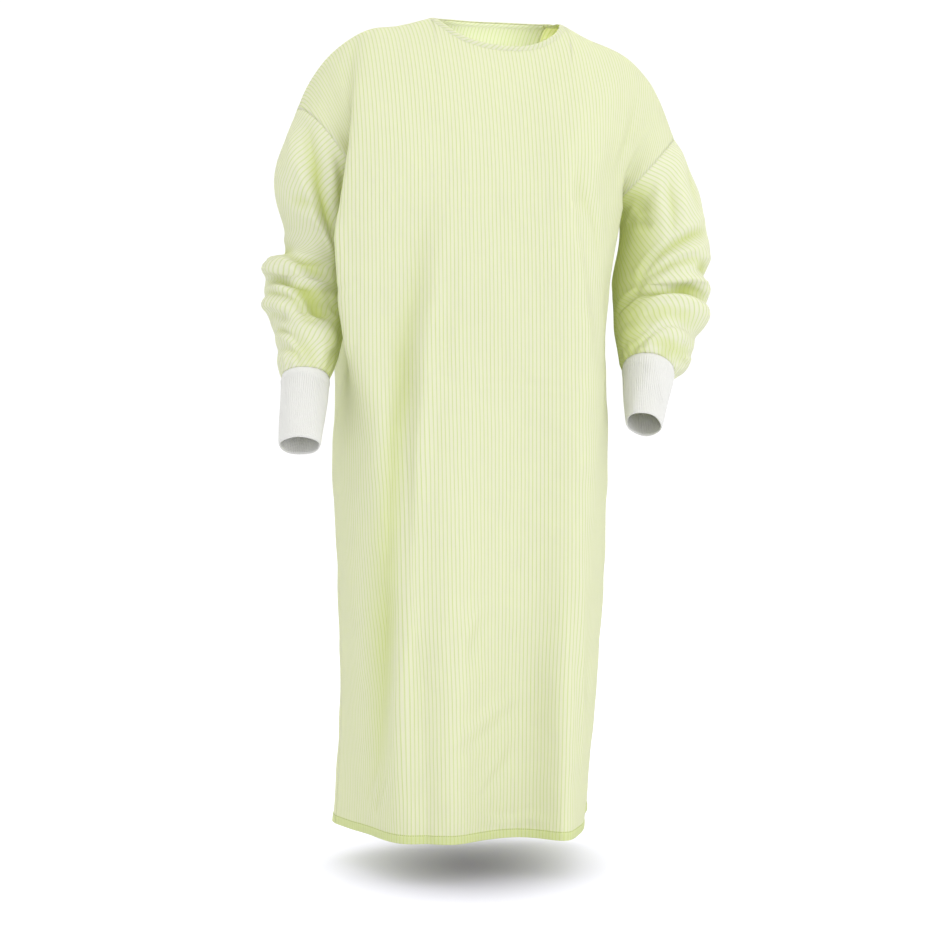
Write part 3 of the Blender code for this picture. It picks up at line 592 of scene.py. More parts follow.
def shell(name, sheet, material):
    """Thin wall of cloth on a sheet, with both skins and closed edges; UVs are lengths in metres."""
    points, tube = sheet["points"], sheet["tube"]
    reach = sheet["facing"] * sheet["wall"][..., None] / 2
    rows, columns = points.shape[:2]
    kept = columns - 1 if tube else columns
    skins = np.stack([points + reach, points - reach])[:, :, :kept]
    ids = np.arange(2 * rows * kept).reshape(2, rows, kept)[:, :, np.arange(columns) % kept]
    cells = np.arange(rows * columns).reshape(rows, columns)
    ids = np.stack([ids, np.broadcast_to(cells, ids.shape)], axis=-1)
    outer, inner = ids
    quads = [
        (outer[:-1, :-1], outer[1:, :-1], outer[1:, 1:], outer[:-1, 1:]),
        (inner[:-1, :-1], inner[:-1, 1:], inner[1:, 1:], inner[1:, :-1]),
        (outer[0, :-1], outer[0, 1:], inner[0, 1:], inner[0, :-1]),
        (outer[-1, :-1], inner[-1, :-1], inner[-1, 1:], outer[-1, 1:]),
    ]
    if not tube:
        quads.append((outer[:-1, 0], inner[:-1, 0], inner[1:, 0], outer[1:, 0]))
        quads.append((outer[:-1, -1], outer[1:, -1], inner[1:, -1], inner[:-1, -1]))
    faces = np.concatenate([np.stack(quad, axis=-2).reshape(-1, 4, 2) for quad in quads])
    if np.sum(grid_facing(points, tube) * sheet["facing"]) < 0:
        faces = faces[:, ::-1]
    mesh = bpy.data.meshes.new(name)
    mesh.from_pydata(skins.reshape(-1, 3).tolist(), [], faces[..., 0].tolist())
    marks = sheet.get("marks", np.broadcast_to(NO_MARKS, points.shape[:2] + (2,)))
    for layer, values in (("lengths", sheet["lengths"]), ("marks", marks)):
        places = values.reshape(-1, 2)[faces[..., 1].ravel()]
        mesh.uv_layers.new(name=layer).data.foreach_set("uv", places.ravel())
    mesh.shade_smooth()
    mesh.materials.append(material)
    piece = bpy.data.objects.new(name, mesh)
    bpy.context.scene.collection.objects.link(piece)
    return piece


def keep(piece, node):
    """Fix a finished piece to the gown in place of its plain CAD solid."""
    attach(piece, "root")
    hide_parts(node)
    return piece


def linear(code):
    """Linear colour of an sRGB hex code."""
    parts = [int(code[at : at + 2], 16) / 255 for at in (1, 3, 5)]
    return [part / 12.92 if part <= 0.04045 else ((part + 0.055) / 1.055) ** 2.4 for part in parts] + [1.0]


def add(tree, kind, inputs, **settings):
    """Shader node with its inputs set or linked; gives its first output."""
    made = tree.nodes.new("ShaderNode" + kind)
    for name, value in settings.items():
        setattr(made, name, value)
    for key, value in inputs.items() if isinstance(inputs, dict) else enumerate(inputs):
        if isinstance(value, bpy.types.NodeSocket):
            tree.links.new(value, made.inputs[key])
        else:
            made.inputs[key].default_value = value
    return made.outputs[0]


def calc(tree, operation, *values):
    """Math node on one or two values."""
    return add(tree, "Math", values, operation=operation)


def new_material(name, values):
    """Material whose shader has the given values; gives the material, its tree and the shader."""
    material = bpy.data.materials.new(name)
    material.use_nodes = True
    shader = material.node_tree.nodes["Principled BSDF"]
    for key, value in values.items():
        shader.inputs[key].default_value = value
    return material, material.node_tree, shader


# Woven polyester and cotton, matt with a slight bloom at grazing angles. The stripes are 5.6 mm
# apart and about 1.5 mm wide, as in the photograph. The real threads are about 0.35 mm apart,
# and are drawn 1.4 mm apart so that they don't break up in the picture. The turned hem, the deep
# creases and the sleeves' sides towards the body are tinted lime: painted light, standing in for
# the light that the layers of thin cloth pass to each other.
STRIPE_PITCH = 0.0056
THREAD_PITCH = 0.0014
SLEEVE_SLANT = -34
STRIPE_EDGE = (0.10, 0.18)
STITCH = 0.0032
STITCH_GAP = 0.35
STITCH_HALF = 0.0005
HEM_BLUR = (0.0008, 0.0004)


def striped_cloth(name, turn, glow=0.5):
    """Striped cloth, its stripes turned by some degrees, with the share of light that comes through it."""
    material, tree, shader = new_material(name, {
        "Roughness": 0.88, "Specular IOR Level": 0.2, "Sheen Weight": 0.12, "Sheen Roughness": 0.5,
    })
    place = add(tree, "UVMap", {}, uv_map="lengths")
    place = add(tree, "VectorRotate", {"Vector": place, "Angle": math.radians(turn)}, rotation_type="Z_AXIS")
    parts = add(tree, "SeparateXYZ", {0: place}).node.outputs
    stripe = calc(tree, "DIVIDE", parts[0], STRIPE_PITCH)
    stripe = calc(tree, "FRACT", stripe)
    stripe = calc(tree, "SUBTRACT", stripe, 0.5)
    stripe = calc(tree, "ABSOLUTE", stripe)
    stripe = add(tree, "MapRange", [stripe, *STRIPE_EDGE, 1.0, 0.0], interpolation_type="SMOOTHSTEP")
    slub = add(tree, "VectorMath", {0: place, 1: (260.0, 18.0, 1.0)}, operation="MULTIPLY")
    slub = add(tree, "TexNoise", {"Vector": slub, "Scale": 1.0, "Detail": 2.0})
    slub = add(tree, "MapRange", [slub, 0.3, 0.7, 0.75, 1.0])
    stripe = calc(tree, "MULTIPLY", stripe, slub)
    ground = add(tree, "MixRGB", [slub, linear("#F1F0E6"), linear("#F5F4EB")])
    colour = add(tree, "MixRGB", [stripe, ground, linear("#E3EAB8")])
    marks = add(tree, "UVMap", {}, uv_map="marks")
    marks = add(tree, "SeparateXYZ", {0: marks}).node.outputs
    # Painted shade: lime mixed in by the share of deep crease, and on the sleeves also on their side towards
    # the body.
    deep = add(tree, "MapRange", [marks[1], 0.05, 1.0, 0.0, 0.75])
    colour = add(tree, "MixRGB", [deep, colour, linear("#DDE680")])
    # Painted light: the turned hem mixed towards lime for the light its two layers pass to each other.
    hem = add(tree, "MapRange", [marks[0], HEM_DEPTH - HEM_BLUR[0], HEM_DEPTH + HEM_BLUR[1], 0.5, 0.0])
    colour = add(tree, "MixRGB", [hem, colour, linear("#DEE79C")])
    stitch = calc(tree, "DIVIDE", parts[0], STITCH)
    stitch = calc(tree, "FRACT", stitch)
    stitch = calc(tree, "GREATER_THAN", stitch, STITCH_GAP)
    row = calc(tree, "SUBTRACT", marks[0], HEM_DEPTH - STITCH_IN)
    row = calc(tree, "ABSOLUTE", row)
    row = calc(tree, "LESS_THAN", row, STITCH_HALF)
    stitch = calc(tree, "MULTIPLY", stitch, row)
    colour = add(tree, "MixRGB", [stitch, colour, linear("#C3CA8E")])
    tree.links.new(colour, shader.inputs["Base Color"])
    tint = add(tree, "MixRGB", {0: 1.0, 1: colour, 2: linear("#F2F6AE")}, blend_type="MULTIPLY")
    threads = []
    for part in (parts[0], parts[1]):
        wave = calc(tree, "MULTIPLY", part, 2 * math.pi / THREAD_PITCH)
        threads.append(calc(tree, "SINE", wave))
    weave = calc(tree, "MULTIPLY", *threads)
    bump = add(tree, "Bump", {"Strength": 0.25, "Distance": 0.0002, "Height": weave})
    tree.links.new(bump, shader.inputs["Normal"])
    through = add(tree, "BsdfTranslucent", {"Color": tint, "Normal": bump})
    both = add(tree, "MixShader", [glow, shader.outputs[0], through])
    tree.links.new(both, tree.nodes["Material Output"].inputs["Surface"])
    return material


half = half_columns()
cloth = striped_cloth("striped_woven_cloth", 0)
bias_cloth = striped_cloth("striped_cloth_on_the_bias", 45)
# Painted light: the sleeves' copy of the same cloth lets a smaller share of light through than the body's,
# set to tune how bright the sleeves look.
slant_cloth = striped_cloth("striped_cloth_on_the_slant", SLEEVE_SLANT, 0.46)
sheets = {}
full = np.concatenate([-half[:0:-1], half])
sheets["front_panel"] = panel_sheet(full, False, FRONT_CREASES, np.zeros(len(full)))
front = keep(shell("front", sheets["front_panel"], cloth), "front_panel")


# Back panels: the same striped cloth in two pieces, open down the centre back. The left one
# lies over the right one, and each has a turned hem and is sewn to the front at its side.

LAP_EDGE = 0.247
LAP_STEP = 0.0027
BACK_CREASES = [
    ([(42, 16), (50, 25), (56, 40), (60, 60)], 16, -5, 0.45, 0.5),
    ([(60, 48), (62, 66), (66, 84), (68, 99)], 21, -6, 0.6, -0.5),
    ([(30, 40), (34, 60), (40, 80), (44, 99)], 13, 3.4, 0.6, 0),
    ([(78, 10), (76, 18), (70, 26)], 11, -3.6, 0.55, 0.3),
    ([(36, 39.5), (50, 38), (64, 35)], 8, -2.4, 0.35, 0.6),
    ([(30, 42), (42, 44), (52, 48)], 8, -2.2, 0.35, -0.6),
    ([(16, 10), (24, 17), (34, 20)], 10, -1.8, 0.45, 0.4),
    ([(14, 66), (24, 72), (36, 76)], 9, 2.6, 0.45, -0.8),
    ([(52, 72), (66, 76), (78, 83)], 9, 2.4, 0.5, 0.8),
    ([(10, 86), (26, 90), (40, 89)], 8, 2.4, 0.5, 0.7),
    ([(80, 33), (83, 45), (80, 56)], 12, -3, 0.5, 0),
    ([(55, 93), (54, 99.9)], 6, 1.4, 0.75, 0),
    ([(36, 94.5), (35, 99.9)], 5, 1.3, 0.75, 0),
]
UNDER_CREASES = [
    ([(-40, 15), (-50, 28), (-58, 45), (-62, 64)], 17, -5.2, 0.5, -0.5),
    ([(-60, 52), (-64, 70), (-66, 99)], 22, -6.4, 0.6, 0.4),
    ([(-36, 47), (-40, 66), (-42, 99)], 14, 3.2, 0.6, 0),
    ([(-82, 11), (-76, 19), (-72, 27)], 11, -3.4, 0.55, -0.3),
    ([(-46, 37.5), (-58, 36), (-72, 36.5)], 8, -2.6, 0.35, -0.5),
    ([(-46, 40.5), (-56, 44), (-62, 50)], 8, -2.2, 0.35, 0.5),
    ([(-22, 11), (-30, 16), (-42, 18)], 10, -1.8, 0.45, -0.4),
    ([(-30, 70), (-44, 74.5), (-54, 80)], 9, 2.8, 0.5, 0.8),
    ([(-70, 74), (-82, 80), (-88, 88)], 10, 2.6, 0.5, -0.6),
    ([(-28, 88), (-40, 91), (-58, 90)], 8, 2.4, 0.5, -0.7),
    ([(-84, 36), (-86, 50), (-83, 60)], 12, -3, 0.5, 0),
    ([(-50, 93.5), (-51, 99.9)], 6, 1.5, 0.75, 0),
]


def lap_columns():
    """Columns of a back panel, from its free edge past the centre to its side seam."""
    lap = half[half < LAP_EDGE]
    return np.concatenate([-lap[:0:-1], half])


lapped = lap_columns()
rise = LAP_STEP * (1 - ease((lapped - lapped[0] * -1) / (NECK_SHARE + lapped[0])))
sheets["back_left"] = panel_sheet(lapped, True, BACK_CREASES, rise)
sheets["back_right"] = panel_sheet(-lapped[::-1], True, UNDER_CREASES, np.zeros(len(lapped)))
for name in ("back_left", "back_right"):
    piece = keep(shell(name.replace("back", "back_panel"), sheets[name], cloth), name)


# Sleeves: tubes of the striped cloth, each cut in one piece with its seam under the arm. They
# are sewn to the dropped armholes, crumple over the elbows and are gathered onto the cuffs.

SLEEVE_GRID = (118, 150)
SEAM_TUCK = 0.0012
DEEP_CREASE = 0.011
# Share of painted lime shade on each sleeve's side towards the body, where the shade between sleeve and body
# falls.
SLEEVE_SIDE_PAINTED_SHADE = 0.7
CUFF_SEAM = 0.0008
# Creases of each sleeve, like the front's but by turn in degrees and per cent along.
SLEEVE_CREASES = {
    -1: [
        ([(34, 2), (62, 11), (82, 20.7), (93, 30), (97, 38)], 14, -9.4, 0.55, 0.3),
        ([(80, 3), (100, 12), (110, 24)], 12, 5.2, 0.6, 0),
        ([(18, 8), (36, 17), (52, 25)], 13, 3.8, 0.5, 0),
        ([(34, 33), (60, 31.3), (90, 30.7)], 8, -4.9, 0.55, 0.5),
        ([(92, 26), (99, 38.3), (122, 49)], 8, -6.1, 0.5, 0),
        ([(-50, 45.5), (0, 47), (46, 47.8)], 10, -8.7, 0.5, 0),
        ([(24, 48), (49, 51), (79, 54), (112, 52.5)], 6, -9, 0.65, 0.4),
        ([(-10, 54), (19, 55), (45, 56.2), (75, 59.5)], 10, 8.1, 0.4, 0),
        ([(4, 57.5), (30, 59.8), (64, 64.5), (98, 67.2), (135, 63)], 7, -9.6, 0.55, 0.3),
        ([(8, 64), (32, 67.2), (76, 72.8), (106, 73.5)], 5, -5.8, 0.5, -0.3),
        ([(-14, 69), (9, 69.2), (41, 73.8), (70, 77)], 9, 7, 0.35, 0),
        ([(40, 79), (66, 80), (92, 80.8), (136, 77.2)], 7, -10.1, 0.7, 0.4),
        ([(2, 80), (24, 82.2), (48, 85.6), (80, 89)], 6, -6.1, 0.4, 0.3),
        ([(-6, 87.5), (30, 90.5), (65, 93), (124, 90.5)], 6, -5.5, 0.6, -0.4),
        ([(80, 85), (104, 84.5), (134, 83)], 8, 5.2, 0.5, 0),
        ([(134, 40), (150, 52), (144, 62)], 10, -6.5, 0.5, 0),
        ([(150, 70), (162, 78), (150, 88)], 9, 4.9, 0.5, 0),
        ([(-30, 10), (-52, 22), (-66, 36)], 14, -7.2, 0.5, -0.3),
        ([(-24, 46), (-58, 52), (-96, 50)], 9, -7.2, 0.5, 0.3),
        ([(-16, 60), (-50, 64), (-92, 68)], 9, 6.1, 0.45, 0),
        ([(-30, 74), (-70, 72), (-118, 76)], 8, -7, 0.55, 0),
        ([(-20, 86), (-64, 88), (-110, 85)], 7, -5.8, 0.5, 0.3),
        ([(-118, 30), (-140, 44), (-130, 60)], 11, -5.8, 0.5, 0),
    ],
    1: [
        ([(84, 6), (89, 18), (92, 27), (96, 38)], 10, -4.3, 0.55, 0.4),
        ([(98, 4), (110, 15), (113, 29)], 12, 4.6, 0.6, 0),
        ([(24, 7), (40, 18), (48, 30)], 14, -3.8, 0.55, 0),
        ([(166, 20), (142, 23.8), (122, 28)], 6, -6.1, 0.45, 0.4),
        ([(150, 11), (138, 16), (128, 22)], 9, -5.2, 0.45, 0),
        ([(136, 54.5), (112, 42), (82, 36.6), (44, 34.5), (12, 34.2)], 9, -7.5, 0.35, 0.4),
        ([(140, 57.5), (109, 50.3), (82, 45.7), (50, 43.8)], 7, -6.7, 0.4, -0.3),
        ([(96, 43.5), (66, 40.5), (30, 40)], 10, 5.8, 0.5, 0),
        ([(78, 50.5), (48, 50), (16, 50.5)], 9, -8.1, 0.6, 0.3),
        ([(100, 56), (66, 53.5), (34, 56), (0, 57)], 10, 6.4, 0.55, 0),
        ([(146, 62.5), (122, 64.8), (92, 63.2), (60, 61.2), (20, 62.2)], 7, -11, 0.4, 0.4),
        ([(172, 71.2), (150, 67.2), (130, 61)], 6, -7.5, 0.55, 0),
        ([(120, 70), (84, 68.8), (44, 69), (8, 70)], 11, 6.7, 0.5, 0),
        ([(172, 80), (130, 80), (92, 77.8), (54, 77.2)], 8, -6.4, 0.45, 0.3),
        ([(118, 86.5), (84, 85.8), (40, 86.8)], 9, 5.8, 0.5, 0),
        ([(150, 92.5), (112, 93.8), (81, 94), (34, 93.8), (0, 91.5)], 6, -6.4, 0.55, 0.3),
        ([(60, 86), (30, 88.5), (6, 86.2)], 6, -4.9, 0.5, 0),
        ([(176, 98.5), (150, 99), (122, 98.5)], 5, -3.5, 0.5, 0),
        ([(-30, 12), (-54, 24), (-70, 38)], 14, -7, 0.5, 0.3),
        ([(-14, 50), (-46, 53), (-88, 49)], 9, -7.8, 0.5, -0.3),
        ([(-10, 62), (-52, 66), (-96, 64)], 9, 6.4, 0.5, 0),
        ([(-26, 75), (-70, 73), (-120, 78)], 8, -7.2, 0.5, 0),
        ([(-18, 87), (-60, 89), (-108, 86)], 7, -6.1, 0.5, 0.3),
        ([(-116, 28), (-138, 42), (-132, 58)], 11, -5.8, 0.5, 0),
    ],
}
# Gathers at each cuff: turn in degrees and height, as uneven as fingers leave them.
GATHERS = [
    (-168, 0.0012), (-147, 0.0016), (-131, 0.0010), (-104, 0.0018), (-82, 0.0012), (-65, 0.0015),
    (-38, 0.0011), (-17, 0.0017), (8, 0.0012), (27, 0.0018), (49, 0.0013), (66, 0.0010),
    (90, 0.0019), (112, 0.0014), (128, 0.0010), (151, 0.0016), (168, 0.0011),
]


def sleeve_grid(side):
    """Sheet of a sleeve with its creases, its armhole seam and the gathers at its cuff."""
    along = np.linspace(0, 1, SLEEVE_GRID[0] + 1)
    turn = np.linspace(-180, 180, SLEEVE_GRID[1] + 1)
    points, facing = sleeve_surface(side, along, np.radians(turn))
    around, down = lengths(points, SLEEVE_GRID[1] // 2)
    creased = crease_height(SLEEVE_CREASES[side], turn, along, around, down, (1, PER_CENT))
    height = (creased + unevenness(around, down)) * ease((180 - np.abs(turn)) / 12)[None, :]
    height = height * ease(down / 0.025) * ease((down[-1] - down + 0.004) / 0.02)
    pleats = np.zeros(len(turn))
    for at, rise in GATHERS:
        away = (turn - at + 180) % 360 - 180
        pleats += rise * bell(away, 5.0)
    pleats -= pleats.mean()
    end = ease((along - 0.86) / 0.12)[:, None]
    height = height + pleats[None, :] * end + seam_height(down)
    height = height - CUFF_SEAM * bell(down[-1] - down, 0.003)
    points = points + facing * height[..., None]
    points[0] += unit(points[0] - points[1]) * SEAM_TUCK - facing[0] * SEAM_TUCK / 2
    girth = around[:, -1] - around[:, 0]
    even = around * (np.linspace(girth[0], girth[-1], len(girth)) / girth)[:, None]
    level = np.broadcast_to(down.mean(axis=1)[:, None], down.shape)
    # Share of painted shade: the deep creases, and the side that faces the body, are tinted lime in the
    # material.
    deep = np.maximum(-creased / DEEP_CREASE, SLEEVE_SIDE_PAINTED_SHADE * ease((np.abs(turn) - 95) / 50)[None, :])
    return {
        "points": points,
        "facing": grid_facing(points, tube=True) * -side,
        "wall": np.full(around.shape, CLOTH_WALL),
        "lengths": np.stack([even, level], axis=-1),
        "marks": np.stack([np.ones_like(deep), np.clip(deep, 0, 1)], axis=-1),
        "tube": True,
    }


for side, name in ((-1, "right"), (1, "left")):
    sheets["sleeve_" + name] = sleeve_grid(side)
    piece = shell(name + "_sleeve", sheets["sleeve_" + name], slant_cloth)
    keep(piece, "sleeve_" + name)


# Cuffs: open tubes of white rib knit, doubled, with a fold at the wrist. The sleeve is
# gathered onto them, so the knit stretches a little at the seam.

CUFF_ENDS = {-1: (0.314, -0.110, -0.635, 0.028), 1: (0.195, -0.114, -0.602, 0.0265)}
RIBS = 66
RIB_HEIGHT = 0.0004
CUFF_GRID = (40, 528)
CUFF_THICK = 0.0020
LOOP_LENGTH = 0.0024


def knit_cloth():
    """White knit with small loops between its ribs; the loops are drawn 2.4 mm long, real ones are 1.2 mm."""
    material, tree, shader = new_material("white_rib_knit", {
        "Base Color": linear("#CECEC9"), "Roughness": 0.92, "Specular IOR Level": 0.2, "Sheen Weight": 0.2,
    })
    place = add(tree, "UVMap", {}, uv_map="lengths")
    parts = add(tree, "SeparateXYZ", {0: place}).node.outputs
    loop = calc(tree, "MULTIPLY", parts[1], 2 * math.pi / LOOP_LENGTH)
    loop = calc(tree, "SINE", loop)
    bump = add(tree, "Bump", {"Strength": 0.35, "Distance": 0.0003, "Height": loop})
    tree.links.new(bump, shader.inputs["Normal"])
    return material


def cuff_grid(side):
    """Sheet of a ribbed cuff, from the sleeve's end to its fold at the wrist."""
    _, out, y, z, across, _, tilt, lean = SLEEVES[side][-1]
    end_out, end_y, end_z, end_half = CUFF_ENDS[side]
    start = np.array([side * out, y, z])
    finish = np.array([side * end_out, end_y, end_z])
    tilt, lean = math.radians(tilt), math.radians(lean)
    outward = np.array([side * math.cos(tilt), 0.0, math.sin(tilt)])
    forward = np.array([0.0, -math.cos(lean), math.sin(lean)])
    turn = np.linspace(-math.pi, math.pi, CUFF_GRID[1] + 1)[:, None]
    ring = np.cos(turn) * outward + np.sin(turn) * forward
    along = np.linspace(0, 1, CUFF_GRID[0] + 1)[:, None, None]
    rib = RIB_HEIGHT * np.sign(np.cos(RIBS * turn)) * np.abs(np.cos(RIBS * turn)) ** 0.7
    rib = rib * ease((along - 0.03) / 0.06) * ease((1 - along) / 0.03)
    wave = 0.0007 * np.sin(2 * turn + 3 * along) + 0.0005 * np.sin(5 * turn - 6 * along + 1.0)
    seam = -0.0010 * bell(along - 0.01, 0.02) + 0.0006 * bell(along - 0.07, 0.03)
    radius = across + (end_half - across) * along + rib + wave * ease(along / 0.3) + seam
    points = start + (finish - start) * along + ring * radius
    wall = np.full(points.shape[:2], CUFF_THICK)
    wall = wall * (0.35 + 0.65 * ease((1 - along[..., 0]) / 0.03))
    around, down = lengths(points, CUFF_GRID[1] // 2)
    facing = grid_facing(points, tube=True) * -side
    return {
        "points": points, "facing": facing, "wall": wall,
        "lengths": np.stack([around, down], axis=-1), "tube": True,
    }


knit = knit_cloth()
for side, name in ((-1, "right"), (1, "left")):
    piece = keep(shell(name + "_cuff", cuff_grid(side), knit), "cuff_" + name)


# Neck binding: a bias strip of the body's cloth, folded round the neck edge and topstitched.
# It opens at the centre back, where its ends overlap with the panels.

BINDING_WIDTH = 0.0095
BINDING_THICK = 0.0023
BINDING_OVER = 0.0012
BINDING_WALL = 0.0005
BINDING_CELLS = 420
PROFILE_MEASURED = 200


def neck_line(name, start, stop):
    """Points and directions along a stretch of a panel's neck edge."""
    step = 1 if stop > start else -1
    picked = slice(start, stop + step if stop + step >= 0 else None, step)
    return sheets[name]["points"][0, picked], sheets[name]["facing"][0, picked]


neck, body = HALF_COLUMNS
lap = len(lapped) - len(half)
edges = [
    neck_line("back_left", 0, lap + neck),
    neck_line("front_panel", neck + body + neck, body),
    neck_line("back_right", body, body + neck + lap),
]
low = np.concatenate([edge[0] for edge in edges])
out = np.concatenate([edge[1] for edge in edges])
apart = np.concatenate([[True], np.linalg.norm(np.diff(low, axis=0), axis=1) > 0.0004])
low, out = low[apart], out[apart]
run = travel(low)
even = np.linspace(0, run[-1], BINDING_CELLS)
low = np.stack([np.interp(even, run, low[:, k]) for k in range(3)], axis=1)
out = np.stack([np.interp(even, run, out[:, k]) for k in range(3)], axis=1)
for _ in range(6):
    low[1:-1] = (low[:-2] + 2 * low[1:-1] + low[2:]) / 4
    out[1:-1] = (out[:-2] + 2 * out[1:-1] + out[2:]) / 4
out = unit(out)
climb = unit(np.cross(np.gradient(low, axis=0), out))
turn = np.linspace(0, 2 * math.pi, 33)
wide = np.sign(np.cos(turn)) * np.abs(np.cos(turn)) ** 0.8
deep = np.sign(np.sin(turn)) * np.abs(np.sin(turn)) ** 0.8
stitched = 1 - 0.35 * bell(wide + 0.62, 0.12)
centre = low + climb * (BINDING_WIDTH / 2 - BINDING_OVER)
pucker = 1 + 0.10 * np.sin(even * 2 * math.pi / 0.011) + 0.08 * np.sin(even * 2 * math.pi / 0.0067 + 1)
profile = (
    centre[:, None]
    + climb[:, None] * (wide * BINDING_WIDTH / 2)[None, :, None]
    + out[:, None] * (deep * stitched * BINDING_THICK / 2)[None, :, None] * pucker[:, None, None]
)
around = travel(profile[PROFILE_MEASURED])
skin = {
    "points": profile,
    "facing": unit(profile - centre[:, None]),
    "wall": np.full(profile.shape[:2], BINDING_WALL),
    "lengths": np.stack(np.broadcast_arrays(around[None, :], even[:, None]), axis=-1),
    "tube": True,
}
binding = keep(shell("neck_binding_strip", skin, bias_cloth), "neck_binding")


# Closures at the back: narrow ties of the body's cloth, folded and stitched flat, knotted at
# the neck and at the waist. Their ends hang free on the back.

TIE_WIDTH = 0.014
TIE_THICK = 0.0013
TIE_CELLS = (120, 10)
TIE_LIFT = 0.0016
SHARE_WIDTH = 0.28
SHARE_DROP = 1.2
LAP_CLEAR = (0.045, 0.040)
KNOT_SIZE = (0.017, 0.015, 0.0055)
KNOT_PATH = (0.20, 0.20, 0.22)
KNOT_BAND = (0.22, 0.26)
KNOT_SHARE = 0.62
KNOT_WALL = 0.0004
TIES = {
    "waist_tie_left": [(-0.110, 0.3850), (-0.250, 0.3860), (-0.356, 0.3850)],
    "waist_tie_right": [(-0.424, 0.3850), (-0.520, 0.3860), (-0.640, 0.3840)],
    "waist_tail_left": [(-0.420, 0.4000), (-0.435, 0.4600), (-0.425, 0.5300), (-0.440, 0.5900)],
    "waist_tail_right": [(-0.352, 0.4000), (-0.335, 0.4600), (-0.350, 0.5200), (-0.335, 0.5650)],
    "neck_tail_left": [(-0.155, 0.0250), (-0.150, 0.1000), (-0.158, 0.1700), (-0.150, 0.2200)],
    "neck_tail_right": [(-0.090, 0.0250), (-0.078, 0.0900), (-0.088, 0.1500), (-0.070, 0.1900)],
}
KNOTS = {"waist_knot": (-0.390, 0.3850), "neck_knot": (-0.122, 0.0110)}


def on_back(across, down, extra):
    """Points off the outside of the back, on whichever of its two panels shows there, and directions."""
    found = np.zeros((len(across), 2, 3))
    for name, columns in (("back_left", lapped), ("back_right", -lapped[::-1])):
        here = across >= lapped[0] if name == "back_left" else across < lapped[0]
        row = np.interp(down[here], panel_rows(), np.arange(len(panel_rows())))
        column = np.interp(across[here], columns, np.arange(len(columns)))
        step = LAP_STEP * ease((across[here] - lapped[0] + LAP_CLEAR[0]) / LAP_CLEAR[1])
        step = step * (name == "back_right") + extra
        facing = unit(between(sheets[name]["facing"], row, column))
        found[here, 0] = between(sheets[name]["points"], row, column) + facing * step[:, None]
        found[here, 1] = facing
    return found


def tie_strip(name, route):
    """Flat tie laid along its route, slightly cupped, with a small wave in it."""
    route = smooth(np.linspace(0, 1, len(route)), route, np.linspace(0, 1, TIE_CELLS[0] + 1))
    size = np.array([SHARE_WIDTH, SHARE_DROP])
    along = unit(np.gradient(route * size, axis=0))
    aside = np.column_stack([-along[:, 1], along[:, 0]]) * TIE_WIDTH / 2 / size
    lanes = np.linspace(-1, 1, TIE_CELLS[1] + 1)
    places = route[:, None] + aside[:, None] * lanes[None, :, None]
    found = on_back(places[..., 0].ravel(), places[..., 1].ravel(), TIE_LIFT)
    grid = found.reshape(TIE_CELLS[0] + 1, TIE_CELLS[1] + 1, 2, 3)
    facing = grid[:, :, 1]
    run = np.linspace(0, 1, TIE_CELLS[0] + 1)[:, None]
    wave = 0.0005 * np.sin(run * 17 + lanes * 1.3) + 0.0003 * np.sin(run * 41 + 2)
    edge = -0.0003 * np.abs(lanes) ** 6
    points = grid[:, :, 0] + facing * (wave * ease(run / 0.1) * ease((1 - run) / 0.1) + edge)[..., None]
    wall = TIE_THICK * (1 - 0.45 * np.abs(lanes)[None, :] ** 8) * np.ones_like(run)
    across, down = lengths(points, TIE_CELLS[1] // 2)
    return {
        "points": points, "facing": facing, "wall": wall,
        "lengths": np.stack([across, down], axis=-1), "tube": False,
    }


def knot_band(place):
    """Band pulled into a small overhand knot, flattened on the back."""
    centre, facing = on_back(np.array([place[0]]), np.array([place[1]]), KNOT_SIZE[2] / 2 + 0.0010)[0]
    aside = unit(np.cross(np.array([0.0, 0.0, 1.0]), facing))
    upright = unit(np.cross(facing, aside))
    t = np.linspace(0, 2 * math.pi, 121)
    path = np.stack([np.sin(t) + 2 * np.sin(2 * t), np.cos(t) - 2 * np.cos(2 * t), -np.sin(3 * t)], axis=1)
    path = path * np.array(KNOT_PATH)
    forward = unit(np.gradient(path, axis=0))
    up = np.array([0.0, 0.0, 1.0]) + 0 * path
    wide = unit(np.cross(forward, up))
    up = unit(np.cross(wide, forward))
    turn = np.linspace(0, 2 * math.pi, 17)
    ring = wide[:, None] * KNOT_BAND[0] * np.cos(turn)[None, :, None]
    ring = ring + up[:, None] * KNOT_BAND[1] * np.sin(turn)[None, :, None]
    shape = (path[:, None] + ring) * np.array(KNOT_SIZE) * KNOT_SHARE
    points = centre + shape @ np.array([aside, upright, facing])
    around, down = lengths(points, 0)
    return points, np.stack([around, down], axis=-1)


for name, route in TIES.items():
    sheet = tie_strip(name, route)
    piece = keep(shell(name + "_cloth", sheet, cloth), name)
for name, place in KNOTS.items():
    points, measured = knot_band(place)
    sheet = {
        "points": points, "facing": grid_facing(points, True), "lengths": measured,
        "wall": np.full(points.shape[:2], KNOT_WALL), "tube": True,
    }
    piece = keep(shell(name + "_cloth", sheet, cloth), name)


# Studio: a white room and a white floor with its round soft shadow painted in; the floor also
# glows a little by itself, less in that shadow, which is painted light. There is a soft box from
# the front on each side, soft light from above and a small lamp inside the neck.

FLOOR_Z = -1.2525
AZIMUTH = -15.0
# Camera: height that it looks at, its distance, and its shift to the side.
EYE = (-0.676, 3.2, 0.029)
LENS = 81.4
# Centre of the painted shadow on the floor, and its reach to the side, in depth and up.
SHADOW_AT = (-0.043, -0.015, FLOOR_Z)
SHADOW_REACH = (0.27, 0.42, 1.0)
FLOOR_REACH = 60
# Brightness of the room on its two sides and behind the gown.
ROOM_SIDES = (0.74, 0.95)
ROOM_BEHIND = 1.06

